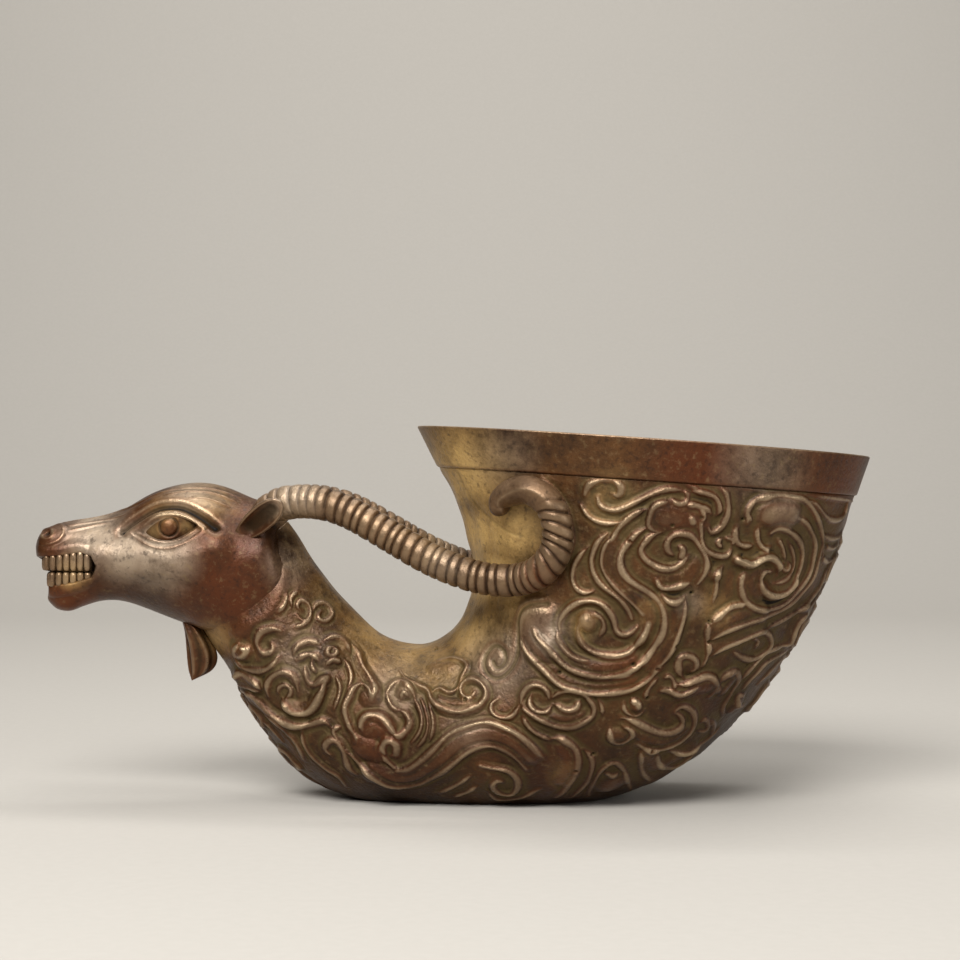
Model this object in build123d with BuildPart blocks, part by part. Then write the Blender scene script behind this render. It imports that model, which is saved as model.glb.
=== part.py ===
from build123d import *
import os
from math import sqrt

# Goat-headed rhyton: a cast bronze drinking cup, bent like a horn, whose neck ends in a goat's head.
# Millimetres. +Z is up and z = 0 is the table under the flat rest. +X points from the head to the mouth of
# the cup. The animal's left side faces -Y. Castings are made apart, seated in each other and brazed.

# Brazed seats
braze_gap = 0.1

# Share of a radius that the handles of a round quarter reach
round_reach = 0.5523

# Cup and neck: oval sections from the spigot inside the head to the lip. Each section runs from the saddle,
# the inside of the bend, to the belly, the outside of the bend.
saddle_edge = [
    (-31.4, 52.7), (-29.0, 49.2), (-24.3, 42.4), (-19.0, 35.6), (-12.4, 30.2), (-6.2, 28.7), (-0.8, 30.5),
    (2.8, 35.2), (4.1, 40.1), (3.6, 46.7), (1.1, 55.2), (-2.1, 61.8), (-6.0, 69.6),
]
belly_edge = [
    (-49.1, 35.6), (-45.9, 30.5), (-40.0, 21.3), (-33.1, 10.6), (-20.9, 0.8), (-4.0, -1.8), (16.7, -1.8),
    (35.5, 2.0), (49.6, 11.0), (61.9, 25.7), (70.3, 42.0), (75.0, 55.2), (78.0, 63.8),
]
half_width = [9.0, 9.7, 10.8, 12.3, 14.5, 17.0, 19.8, 22.6, 24.8, 26.8, 28.6, 29.9, 31.0]
wall = 2.4
floor_thickness = 2.4
hollow_end = 3        # section at which the hollow ends, blind, in the neck
full_hollow = 5       # section from which the wall has its even thickness
hollow_end_wall = 7.0

# Rim band, let into a rebate round the lip
band_height = 7.4
band_thickness = 1.2
band_proud = 0.5
band_rounding = 0.35

# Head: sections from the nose to the nape, each with its top, its bottom, its half width, and how far its
# crown and its jaw run flat before they turn down or up into the cheek
head_sections = [
    ((-78.0, 47.2), (-76.7, 40.4), 1.4, 0.5, 0.6),
    ((-77.4, 49.0), (-75.4, 37.7), 3.5, 1.5, 1.7),
    ((-75.9, 50.5), (-73.6, 35.8), 4.6, 2.6, 2.6),
    ((-72.5, 51.5), (-71.0, 35.3), 5.4, 2.9, 3.2),
    ((-67.9, 52.2), (-66.9, 36.5), 6.0, 2.4, 3.3),
    ((-62.2, 53.7), (-61.9, 36.8), 7.0, 2.6, 2.6),
    ((-57.5, 56.3), (-57.0, 35.3), 8.5, 4.0, 2.2),
    ((-52.5, 58.3), (-51.3, 33.1), 9.9, 6.2, 3.7),
    ((-46.6, 59.0), (-45.7, 31.2), 10.8, 5.8, 5.8),
    ((-41.2, 57.8), (-40.6, 30.3), 11.3, 4.2, 8.0),
    ((-36.7, 55.9), (-35.5, 32.5), 11.2, 2.6, 8.8),
    ((-32.9, 54.7), (-31.4, 37.2), 10.6, 1.4, 8.0),
    ((-30.4, 52.4), (-29.6, 42.6), 9.2, 1.0, 6.2),
]

# Mouth: the open bite seen from the side, from the upper lip round its corner to the lower lip
upper_lip = [(-82.0, 45.0), (-77.0, 45.2), (-72.5, 45.5), (-68.6, 46.1), (-66.3, 45.5)]
mouth_corner = (-65.2, 43.6)
lower_lip = [(-66.3, 41.5), (-69.6, 40.2), (-73.5, 39.4), (-77.0, 38.8), (-82.0, 38.4)]
bite_line = 42.4
tooth_setback = 0.6
tooth_gap = 0.35
tooth_first = -75.6
tooth_pitch = 1.7
tooth_count = 6
tooth_length = 4.4
tooth_relief = 1.0
bite_gap = 0.3
mouth_reach = 12.0
nostril = (-76.2, -3.2, 48.6)
nostril_radius = 0.9

# Eyes: almonds in the side of the head
eye_front = (-56.0, 49.9)
eye_rear = (-46.3, 51.1)
eye_top = (-51.4, 53.2)
eye_bottom = (-51.4, 48.3)
eye_floor = 7.4
eye_dome = 9.5
eye_dome_radius = 9.5
pupil = (-51.6, 50.9)
pupil_radius = 1.1
pupil_sink = 0.5
lid_width = 1.1
lid_height = 0.45
lid_reach = 6.0

# Ears: scooped leaves that point back and up
ear_root = (-38.6, -9.0, 49.2)
ear_tip = (-30.6, -13.6, 55.6)
ear_facing = (-0.25, -0.9, -0.45)
ear_width = 4.8
ear_root_width = 2.6
ear_thickness = 2.2
ear_widest = 4.2
ear_scoop = 1.2
ear_scoop_radius = 1.7
ear_scoop_reach = 4.6
ear_tenon_radius = 0.9
ear_tenon_length = 3.0

# Horns: a free span from the brow to the cup, then a curl that lies on the cup wall
horn_span = [
    (-36.6, 52.8), (-30.6, 55.2), (-25.8, 55.5), (-20.2, 54.3), (-14.5, 51.5), (-9.0, 48.3), (-3.5, 45.3),
    (1.9, 43.1), (7.2, 41.8),
]
horn_curl = [
    (12.5, 41.9), (16.5, 43.9), (18.8, 47.6), (18.9, 51.6), (17.5, 55.2), (14.4, 57.6), (11.1, 57.3),
    (9.0, 55.2), (9.6, 53.2),
]
horn_root_spread = 5.4
horn_root_radius = 3.3
horn_tip_radius = 1.3
horn_taper_start = 0.72   # share of the length after which the horn thins towards its tip
horn_mid_radius = 2.95
curl_seat = 0.75          # height of the horn's centre over the wall, in horn radii
rib_count = 36
rib_depth = 0.4
crest_start, crest_end = 0.3, 0.7   # shares of a rib's pitch between which it has its full height
ribs_from = 0.07
ribs_to = 0.84
hook_steps = 8
horn_tenon_radius = 1.6
horn_peg_share = 0.06     # share of the length at which the tenon starts inside the horn
horn_peg_length = 9.0

# Beard: oval sections from its root in the throat to its tip
beard_front = [(-51.4, 34.8), (-50.0, 30.6), (-49.6, 27.2), (-49.3, 24.2), (-48.8, 21.8)]
beard_back = [(-49.2, 34.6), (-45.2, 29.6), (-44.0, 26.2), (-45.0, 23.8), (-47.8, 22.2)]
beard_half_width = [1.2, 2.4, 2.1, 1.5, 0.5]


os.makedirs("parts", exist_ok=True)


def cross_plane(lower, upper):
    """Plane through two points of the XZ plane and the Y axis, with its local y towards the upper point."""
    run = Vector(upper[0] - lower[0], 0, upper[1] - lower[1])
    middle = ((lower[0] + upper[0]) / 2, 0, (lower[1] + upper[1]) / 2)
    return Plane(middle, x_dir=(0, 1, 0), z_dir=Vector(0, 1, 0).cross(run)), run.length / 2


def half_section(plane, half_height, width, crown, jaw):
    """Half of a section: round at its side, with a flat crown at its top and a flat jaw at its bottom."""
    rise = round_reach * half_height
    with BuildSketch(plane) as section:
        with BuildLine():
            Bezier((0, half_height), (crown, half_height), (width, rise), (width, 0))
            Bezier((width, 0), (width, -rise), (jaw, -half_height), (0, -half_height))
            Line((0, -half_height), (0, half_height))
        make_face()
    return section.sketch


def mirrored_loft(sections):
    """Solid through half sections, with its other half mirrored."""
    with BuildPart() as form:
        loft(sections)
        mirror(about=Plane.XZ)
    return form.part


def half_oval(lower, upper, width, growth):
    """Half of an oval between two points of the XZ plane, grown all round."""
    plane, half_height = cross_plane(lower, upper)
    side = width + growth
    return half_section(plane, half_height + growth, side, round_reach * side, round_reach * side)


def cup_form(growth):
    """Outside of the cup and neck, before its rest is cut flat, grown all round."""
    rows = zip(belly_edge, saddle_edge, half_width)
    return mirrored_loft([half_oval(belly, saddle, width, growth) for belly, saddle, width in rows])


def head_form(growth):
    """Outside of the head, closed, grown all round."""
    sections = []
    for top, bottom, width, crown, jaw in head_sections:
        plane, half_height = cross_plane(bottom, top)
        sections.append(half_section(plane, half_height + growth, width + growth, crown, jaw))
    return mirrored_loft(sections)


def beard_form(growth):
    """Beard with its root, grown all round."""
    rows = zip(beard_back, beard_front, beard_half_width)
    return mirrored_loft([half_oval(back, front, width, growth) for back, front, width in rows])


def mouth_filling():
    """What fills the open mouth behind the lips, set back from the muzzle's outside."""
    with BuildPart() as form:
        add(head_form(-tooth_setback))
        extrude(mouth_outline(braze_gap), amount=mouth_reach, both=True, mode=Mode.INTERSECT)
    return form.part


def muzzle_half_width(x):
    """Half width of the head at half its height, straight between its sections."""
    middles = [((top[0] + bottom[0]) / 2, width) for top, bottom, width, crown, jaw in head_sections]
    for (x_a, width_a), (x_b, width_b) in zip(middles, middles[1:]):
        if x <= x_b:
            return width_a + (width_b - width_a) * (x - x_a) / (x_b - x_a)
    return middles[-1][1]


def mouth_outline(inset):
    """Open mouth seen from the side, with its edges drawn in."""
    roof = [(x, z - inset) for x, z in upper_lip]
    corner = (mouth_corner[0] - inset, mouth_corner[1])
    floor = [(x, z + inset) for x, z in lower_lip]
    with BuildSketch(Plane.XZ) as outline:
        with BuildLine():
            Spline(*roof, corner, *floor)
            Line(floor[-1], roof[0])
        make_face()
    return outline.sketch


def almond(growth, depth):
    """Outline of the left eye at a depth from the middle plane, grown all round."""
    with BuildSketch(Plane.XZ.offset(depth)) as outline:
        with BuildLine():
            ThreePointArc(eye_front, eye_top, eye_rear)
            ThreePointArc(eye_rear, eye_bottom, eye_front)
        make_face()
        if growth:
            offset(amount=growth)
    return outline.sketch


def peg(start, direction, radius, length):
    """Round tenon from a point along a direction."""
    with BuildPart() as form:
        with BuildSketch(Plane(start, z_dir=direction)):
            Circle(radius)
        extrude(amount=length)
    return form.part


def wall_half_width(x, z):
    """Half width of the cup's outside at a point of its side view, straight between its sections."""
    for first in range(full_hollow, len(half_width) - 1):
        sides = []
        for index in (first, first + 1):
            (saddle_x, saddle_z), (belly_x, belly_z) = saddle_edge[index], belly_edge[index]
            across = Vector(belly_x - saddle_x, 0, belly_z - saddle_z)
            point = Vector(x - saddle_x, 0, z - saddle_z)
            sides.append((across.cross(point).Y, point.dot(across) / across.length**2, half_width[index]))
        (side_a, along_a, width_a), (side_b, along_b, width_b) = sides
        if side_a * side_b <= 0:
            share = side_a / (side_a - side_b)
            along = along_a + (along_b - along_a) * share
            width = width_a + (width_b - width_a) * share
            return width * sqrt(max(0, 1 - (2 * along - 1) ** 2))
    return half_width[-1]


lip_run = Vector(belly_edge[-1][0] - saddle_edge[-1][0], 0, belly_edge[-1][1] - saddle_edge[-1][1])
lip_start = (saddle_edge[-1][0], 0, saddle_edge[-1][1])
lip_plane = Plane(lip_start, x_dir=lip_run, z_dir=lip_run.cross(Vector(0, 1, 0)))
band_seat = lip_plane.offset(-band_height)
rebate_depth = band_thickness - band_proud

# Hollow of the cup: an even wall from the lip down, closing to a blind end in the neck
hollow_rows = range(hollow_end, len(half_width))
insets = [
    wall + (hollow_end_wall - wall) * max(0, full_hollow - index) / (full_hollow - hollow_end)
    for index in hollow_rows
]
hollow_sections = [
    half_oval(belly_edge[index], saddle_edge[index], half_width[index], -inset)
    for index, inset in zip(hollow_rows, insets)
]
with BuildPart() as hollow:
    add(mirrored_loft(hollow_sections))
    split(bisect_by=Plane.XY.offset(floor_thickness), keep=Keep.TOP)

# Cup body: one thin-walled casting with a rebate round its lip and a flat rest
with BuildPart() as cup_body:
    add(cup_form(0))
    split(bisect_by=band_seat, keep=Keep.BOTTOM)
    add(cup_form(-rebate_depth - braze_gap))
    add(hollow.part, mode=Mode.SUBTRACT)
    split(bisect_by=Plane.XY, keep=Keep.TOP)
cup_body.part.label = "cup_body"
export_step(cup_body.part, "parts/cup_body.step")

# Rim band: a plain hoop in the rebate, standing a little proud of the cup
with BuildPart() as rim_band:
    add(cup_form(band_proud))
    split(bisect_by=band_seat, keep=Keep.TOP)
    fillet(rim_band.edges().filter_by(lambda edge: edge.length > lip_run.length), band_rounding)
    add(cup_form(-rebate_depth), mode=Mode.SUBTRACT)
rim_band.part.label = "rim_band"
export_step(rim_band.part, "parts/rim_band.step")

# Line of the left horn: it spreads evenly along its free span and then keeps to the cup wall
curl_line = [(x, -wall_half_width(x, z) - curl_seat * horn_mid_radius, z) for x, z in horn_curl]
span_start, span_run = horn_span[0][0], horn_curl[0][0] - horn_span[0][0]
spread_run = -curl_line[0][1] - horn_root_spread
span_line = [(x, -horn_root_spread - spread_run * (x - span_start) / span_run, z) for x, z in horn_span]
with BuildLine() as horn_line:
    Spline(*span_line, *curl_line)
horn_path = horn_line.edge()
horn_peg_start = horn_path.position_at(horn_peg_share)
horn_peg_run = -horn_path.tangent_at(0)

# Head: a closed casting that sits over the end of the neck like a cap, with raised eyelids, eye sockets, an
# open mouth, and sockets for the horns, ears and beard
ear_axis = (Vector(ear_tip) - Vector(ear_root)).normalized()
ear_peg_start = Vector(ear_root) + ear_axis * ear_widest
ear_peg_length = ear_widest + ear_tenon_length

with BuildPart() as eyelids:
    extrude(almond(lid_width, eye_floor), amount=lid_reach)
    extrude(almond(0, eye_floor), amount=lid_reach, mode=Mode.SUBTRACT)
    add(head_form(lid_height), mode=Mode.INTERSECT)
    mirror(about=Plane.XZ)

with BuildPart() as sockets:
    extrude(almond(0, eye_floor), amount=lid_reach)
    add(peg(ear_peg_start, -ear_axis, ear_tenon_radius + braze_gap, ear_peg_length + braze_gap))
    add(peg(horn_peg_start, horn_peg_run, horn_tenon_radius + braze_gap, horn_peg_length + braze_gap))
    with Locations(nostril):
        Sphere(nostril_radius)
    mirror(about=Plane.XZ)

with BuildPart() as head:
    add(head_form(0))
    add(eyelids.part)
    add(sockets.part, mode=Mode.SUBTRACT)
    add(cup_form(braze_gap), mode=Mode.SUBTRACT)
    add(beard_form(braze_gap), mode=Mode.SUBTRACT)
    extrude(mouth_outline(0), amount=mouth_reach, both=True, mode=Mode.SUBTRACT)
head.part.label = "head"
export_step(head.part, "parts/head.step")

# Teeth: two rows that fill the open mouth behind the lips, parted by short gaps in their face
with BuildPart() as tooth_rows:
    add(mouth_filling())
    for index in range(tooth_count):
        gap_x = tooth_first + index * tooth_pitch
        gap_y = muzzle_half_width(gap_x) - tooth_setback - tooth_relief + mouth_reach / 2
        with Locations((gap_x, gap_y, bite_line), (gap_x, -gap_y, bite_line)):
            Box(tooth_gap, mouth_reach, tooth_length, mode=Mode.SUBTRACT)

with BuildPart() as upper_teeth:
    add(tooth_rows.part)
    split(bisect_by=Plane.XY.offset(bite_line + bite_gap / 2), keep=Keep.TOP)
upper_teeth.part.label = "upper_teeth"
export_step(upper_teeth.part, "parts/upper_teeth.step")

with BuildPart() as lower_teeth:
    add(tooth_rows.part)
    split(bisect_by=Plane.XY.offset(bite_line - bite_gap / 2), keep=Keep.BOTTOM)
lower_teeth.part.label = "lower_teeth"
export_step(lower_teeth.part, "parts/lower_teeth.step")

# Eyes: domed almonds with a bead for the pupil
with BuildPart() as left_eye:
    extrude(almond(-braze_gap, eye_floor), amount=lid_reach)
    with Locations((pupil[0], eye_dome_radius - eye_dome, pupil[1])):
        Sphere(eye_dome_radius, mode=Mode.INTERSECT)
    with Locations((pupil[0], pupil_sink - eye_dome, pupil[1])):
        Sphere(pupil_radius)
left_eye.part.label = "left_eye"
export_step(left_eye.part, "parts/left_eye.step")

with BuildPart() as right_eye:
    mirror(left_eye.part, about=Plane.XZ)
right_eye.part.label = "right_eye"
export_step(right_eye.part, "parts/right_eye.step")

# Ears: scooped leaves, seated on the side of the head by a tenon
ear_length = (Vector(ear_tip) - Vector(ear_root)).length
ear_normal = Vector(ear_facing) - ear_axis * Vector(ear_facing).dot(ear_axis)
ear_plane = Plane(ear_root, x_dir=ear_axis, z_dir=ear_normal)
scoop_plane = ear_plane.offset(ear_thickness / 2 + ear_scoop_radius - ear_scoop)

with BuildPart() as left_ear:
    with BuildSketch(ear_plane.offset(-ear_thickness / 2)):
        with BuildLine():
            Spline((0, -ear_root_width / 2), (ear_widest, -ear_width / 2), (ear_length, 0))
            Spline((ear_length, 0), (ear_widest, ear_width / 2), (0, ear_root_width / 2))
            Line((0, ear_root_width / 2), (0, -ear_root_width / 2))
        make_face()
    extrude(amount=ear_thickness)
    with BuildSketch(scoop_plane):
        with BuildLine():
            EllipticalCenterArc((ear_widest, 0), ear_scoop_reach, ear_scoop_radius, 0, arc_size=180)
            Line((ear_widest - ear_scoop_reach, 0), (ear_widest + ear_scoop_reach, 0))
        make_face()
    revolve(axis=Axis(scoop_plane.origin, scoop_plane.x_dir), mode=Mode.SUBTRACT)
    add(head_form(braze_gap), mode=Mode.SUBTRACT)
    add(peg(ear_peg_start, -ear_axis, ear_tenon_radius, ear_peg_length))
left_ear.part.label = "left_ear"
export_step(left_ear.part, "parts/left_ear.step")

with BuildPart() as right_ear:
    mirror(left_ear.part, about=Plane.XZ)
right_ear.part.label = "right_ear"
export_step(right_ear.part, "parts/right_ear.step")

# Beard: a small tapering tuft let into the throat, its back against the neck
with BuildPart() as beard:
    add(beard_form(0))
    add(cup_form(braze_gap), mode=Mode.SUBTRACT)
beard.part.label = "beard"
export_step(beard.part, "parts/beard.step")


# Horns: ribbed round tapers, let into the brow by a tenon and brazed to the cup wall where they curl
def horn_radius(share):
    """Radius of the horn at a share of its length, at the crest of a rib."""
    if share < horn_taper_start:
        return horn_root_radius + (horn_mid_radius - horn_root_radius) * share / horn_taper_start
    thinned = (share - horn_taper_start) / (1 - horn_taper_start)
    return horn_mid_radius + (horn_tip_radius - horn_mid_radius) * thinned


def horn_ring(share, radius):
    """Round section of the horn at a share of its length."""
    along = horn_path.tangent_at(share)
    plane = Plane(horn_path.position_at(share), x_dir=Vector(0, 1, 0).cross(along), z_dir=along)
    with BuildSketch(plane) as ring:
        Circle(radius)
    return ring.sketch


rib_share = (ribs_to - ribs_from) / rib_count
rings = [(0, horn_root_radius)]
for index in range(rib_count):
    start = ribs_from + index * rib_share
    rings.append((start, horn_radius(start) - rib_depth))
    rings.append((start + crest_start * rib_share, horn_radius(start)))
    rings.append((start + crest_end * rib_share, horn_radius(start)))
for index in range(hook_steps):
    share = ribs_to + (1 - ribs_to) * index / hook_steps
    rings.append((share, horn_radius(share)))
rings.append((1, horn_tip_radius / 2))

with BuildPart() as left_horn:
    loft([horn_ring(share, radius) for share, radius in rings], ruled=True)
    add(head_form(braze_gap), mode=Mode.SUBTRACT)
    add(cup_form(braze_gap), mode=Mode.SUBTRACT)
    add(peg(horn_peg_start, horn_peg_run, horn_tenon_radius, horn_peg_length))
left_horn.part.label = "left_horn"
export_step(left_horn.part, "parts/left_horn.step")

with BuildPart() as right_horn:
    mirror(left_horn.part, about=Plane.XZ)
right_horn.part.label = "right_horn"
export_step(right_horn.part, "parts/right_horn.step")
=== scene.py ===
import math
import bmesh
import bpy
import numpy as np
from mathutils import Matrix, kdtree


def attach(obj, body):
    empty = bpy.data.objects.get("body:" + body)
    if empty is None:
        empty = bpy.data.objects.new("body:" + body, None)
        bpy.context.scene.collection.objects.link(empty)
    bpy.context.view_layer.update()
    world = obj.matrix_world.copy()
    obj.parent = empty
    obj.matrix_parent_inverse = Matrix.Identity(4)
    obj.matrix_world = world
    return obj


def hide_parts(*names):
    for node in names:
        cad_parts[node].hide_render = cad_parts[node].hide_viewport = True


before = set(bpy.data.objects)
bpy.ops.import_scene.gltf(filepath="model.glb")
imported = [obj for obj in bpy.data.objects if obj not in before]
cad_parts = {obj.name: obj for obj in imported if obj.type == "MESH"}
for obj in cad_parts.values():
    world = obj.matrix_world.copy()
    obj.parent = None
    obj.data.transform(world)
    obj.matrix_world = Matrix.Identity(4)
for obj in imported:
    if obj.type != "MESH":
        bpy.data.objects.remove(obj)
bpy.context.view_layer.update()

# The room: a sheet of pale matt paper that runs under the cup and sweeps up behind it, three soft lamps on
# the cup, one on the paper behind it, and a pale sky. The camera stands level, 376 mm from the cup's middle
# plane, on the animal's left.
MM = 0.001                           # m
camera_spot = (5.45, -376.0, 59.5)   # mm
picture = 960                        # px, the side of the square picture
focal = 2000.0                       # px
sensor = 36                          # mm

scene = bpy.context.scene
scene.view_settings.view_transform = "Standard"
camera = bpy.data.objects.new("camera", bpy.data.cameras.new("camera"))
camera.data.sensor_width = sensor
camera.data.lens = sensor * focal / picture
camera.data.clip_start = 0.01
camera.location = np.array(camera_spot) * MM
camera.rotation_euler = (math.pi / 2, 0, 0)
scene.collection.objects.link(camera)
scene.camera = camera


def linear(code):
    """Linear colour, with alpha, of an sRGB hex code."""
    parts = [int(code[i:i + 2], 16) / 255 for i in (1, 3, 5)]
    return [p / 12.92 if p <= 0.04045 else ((p + 0.055) / 1.055) ** 2.4 for p in parts] + [1.0]


def add(tree, kind, inputs=None, **settings):
    """One node with its settings. Each input is given a value or the socket that feeds it."""
    made = tree.nodes.new(kind)
    for name, value in settings.items():
        setattr(made, name, value)
    for name, value in (inputs or {}).items():
        if isinstance(value, bpy.types.NodeSocket):
            tree.links.new(value, made.inputs[name])
        else:
            made.inputs[name].default_value = value
    return made


def new_material(name):
    """An empty node material, with its tree and the Principled shader that its output shows."""
    made = bpy.data.materials.new(name)
    made.use_nodes = True
    return made, made.node_tree, made.node_tree.nodes["Principled BSDF"]


def mesh_object(name, points, faces, material):
    """A smooth-shaded mesh from points in millimetres."""
    shape = bpy.data.meshes.new(name)
    shape.from_pydata((np.asarray(points) * MM).tolist(), [], [list(f) for f in faces])
    shape.materials.append(material)
    shape.shade_smooth()
    made = bpy.data.objects.new(name, shape)
    scene.collection.objects.link(made)
    return made


def strip_faces(rows, columns, closed=False):
    """Quads between the rows of a grid of points, joined round at its columns' ends if closed."""
    grid = np.arange(rows * columns).reshape(rows, columns)
    if closed:
        grid = np.hstack([grid, grid[:, :1]])
    corners = grid[:-1, :-1], grid[:-1, 1:], grid[1:, 1:], grid[1:, :-1]
    return np.stack([c.ravel() for c in corners], axis=1).tolist()


# Matt paper, pressed: an even, pale, dull sheet with a faint fibre, 2 mm, to the eye quite plain.
paper, tree, shader = new_material("matt_paper_pressed")
spots = add(tree, "ShaderNodeTexCoord")
fibre = add(tree, "ShaderNodeTexNoise", {
    "Vector": spots.outputs["Object"], "Scale": 1 / 0.002, "Detail": 3.0})
shades = add(tree, "ShaderNodeValToRGB", {"Fac": fibre.outputs["Fac"]})
shades.color_ramp.elements[0].color = linear("#aaa59d")
shades.color_ramp.elements[1].color = linear("#afaaa2")
tree.links.new(shades.outputs["Color"], shader.inputs["Base Color"])
shader.inputs["Roughness"].default_value = 0.9
shader.inputs["Specular IOR Level"].default_value = 0.2

sheet_front, sheet_half, sheet_top = -1500, 2500, 2500   # mm
bend_start, bend_radius = 500, 500                       # mm
sweep = [(sheet_front, 0), (bend_start, 0)]
sweep += [(bend_start + bend_radius * math.sin(a), bend_radius * (1 - math.cos(a)))
          for a in np.linspace(0.1, math.pi / 2, 14)]
sweep += [(bend_start + bend_radius, sheet_top)]
sheet = [(x, y, z) for y, z in sweep for x in (-sheet_half, sheet_half)]
floor = mesh_object("paper_sweep", sheet, strip_faces(len(sweep), 2), paper)

world = bpy.data.worlds.new("pale_sky")
world.use_nodes = True
world.node_tree.nodes["Background"].inputs["Color"].default_value = linear("#f2f0ee")
world.node_tree.nodes["Background"].inputs["Strength"].default_value = 0.06
scene.world = world

# Each lamp's place and the place it is aimed at are in mm, its width and height in m and its power in W.
for name, spot, aimed_at, width, height, power in (
    ("key_softbox", (-170, -520, 520), (0, 0, 35), 0.45, 0.35, 8.5),
    ("top_softbox", (80, -40, 680), (0, 0, 35), 0.50, 0.30, 2.0),
    ("right_softbox", (640, -380, 220), (0, 0, 35), 0.30, 0.40, 1.4),
    ("paper_lamp", (0, 330, 950), (0, 1000, 350), 0.90, 0.30, 8.0),
):
    lamp = bpy.data.lights.new(name, "AREA")
    lamp.shape, lamp.size, lamp.size_y, lamp.energy = "RECTANGLE", width, height, power
    stand = bpy.data.objects.new(name, lamp)
    stand.location = np.array(spot) * MM
    aim = np.array(aimed_at) - np.array(spot)
    tilt, heading = math.atan2(math.hypot(aim[0], aim[1]), -aim[2]), math.atan2(aim[1], aim[0]) - math.pi / 2
    stand.rotation_euler = (tilt, 0, heading)
    scene.collection.objects.link(stand)


# The cup and its neck: one thin-walled bronze casting, bent like a horn, from the spigot inside the head to
# the lip. Its outside carries cast scrolls and coiled dragons, chased after casting and rubbed bright by
# hands; the saddle and the inside are plain.
saddle_edge = [
    (-31.4, 52.7), (-29.0, 49.2), (-24.3, 42.4), (-19.0, 35.6), (-12.4, 30.2), (-6.2, 28.7), (-0.8, 30.5),
    (2.8, 35.2), (4.1, 40.1), (3.6, 46.7), (1.1, 55.2), (-2.1, 61.8), (-6.0, 69.6),
]
belly_edge = [
    (-49.1, 35.6), (-45.9, 30.5), (-40.0, 21.3), (-33.1, 10.6), (-20.9, 0.8), (-4.0, -1.8), (16.7, -1.8),
    (35.5, 2.0), (49.6, 11.0), (61.9, 25.7), (70.3, 42.0), (75.0, 55.2), (78.0, 63.8),
]
half_width = [9.0, 9.7, 10.8, 12.3, 14.5, 17.0, 19.8, 22.6, 24.8, 26.8, 28.6, 29.9, 31.0]
cup_sections = [(*s, *b, w) for s, b, w in zip(saddle_edge, belly_edge, half_width)]
lip_step = len(half_width) - 1
wall = 2.4
floor_thickness = 2.4
band_height = 7.4


def lengths(line):
    """How far along a line each of its points lies."""
    return np.concatenate([[0], np.cumsum(np.linalg.norm(np.diff(line, axis=0), axis=1))])


def smooth_rows(rows, steps):
    """Natural cubic curves through rows of numbers, read at steps that are counted in rows."""
    rows = np.array(rows, float)
    last = len(rows) - 1
    knots = lengths(rows)
    gap = np.diff(knots)[:, None]
    slope = np.diff(rows, axis=0) / gap
    stiff, pull = np.eye(last + 1), np.zeros_like(rows)
    for i in range(1, last):
        stiff[i, i - 1:i + 2] = gap[i - 1, 0], 2 * (gap[i - 1, 0] + gap[i, 0]), gap[i, 0]
        pull[i] = 6 * (slope[i] - slope[i - 1])
    bend = np.linalg.solve(stiff, pull)
    place = np.interp(steps, np.arange(last + 1), knots)
    i = np.clip(np.searchsorted(knots, place, side="right") - 1, 0, last - 1)
    b = ((place - knots[i]) / gap[i, 0])[:, None]
    a = 1 - b
    return a * rows[i] + b * rows[i + 1] + ((a**3 - a) * bend[i] + (b**3 - b) * bend[i + 1]) * gap[i] ** 2 / 6


def wall_points(steps, turns, growth=0.0):
    """Points of the cup's oval wall, grown outwards: steps along it in sections, turns from the saddle (0)
    over the left side to the belly (pi) and back over the right side."""
    steps, turns, growth = np.broadcast_arrays(steps, turns, growth)
    row = smooth_rows(cup_sections, steps.ravel())
    middle, reach = (row[:, 0:2] + row[:, 2:4]) / 2, (row[:, 0:2] - row[:, 2:4]) / 2
    grow = growth.ravel()
    reach = reach * (1 + grow / np.linalg.norm(reach, axis=1))[:, None]
    side = middle + np.cos(turns.ravel())[:, None] * reach
    across = -np.sin(turns.ravel()) * (row[:, 4] + grow)
    return np.stack([side[:, 0], across, side[:, 1]], axis=1).reshape(*steps.shape, 3)


def outward(grid):
    """Unit normals of a grid of points on the left side, away from the middle plane."""
    normal = np.cross(np.gradient(grid, axis=0), np.gradient(grid, axis=1))
    normal /= np.maximum(np.linalg.norm(normal, axis=2, keepdims=True), 1e-9)
    rows, columns = grid.shape[:2]
    return -normal if normal[rows // 2, columns // 2, 1] > 0 else normal


def on_picture(points):
    """Where points in millimetres show on the picture, in pixels."""
    deep = points[..., 1] - camera_spot[1]
    across = picture / 2 + focal * (points[..., 0] - camera_spot[0]) / deep
    down = picture / 2 - focal * (points[..., 2] - camera_spot[2]) / deep
    return np.stack([across, down], axis=-1)


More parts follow.
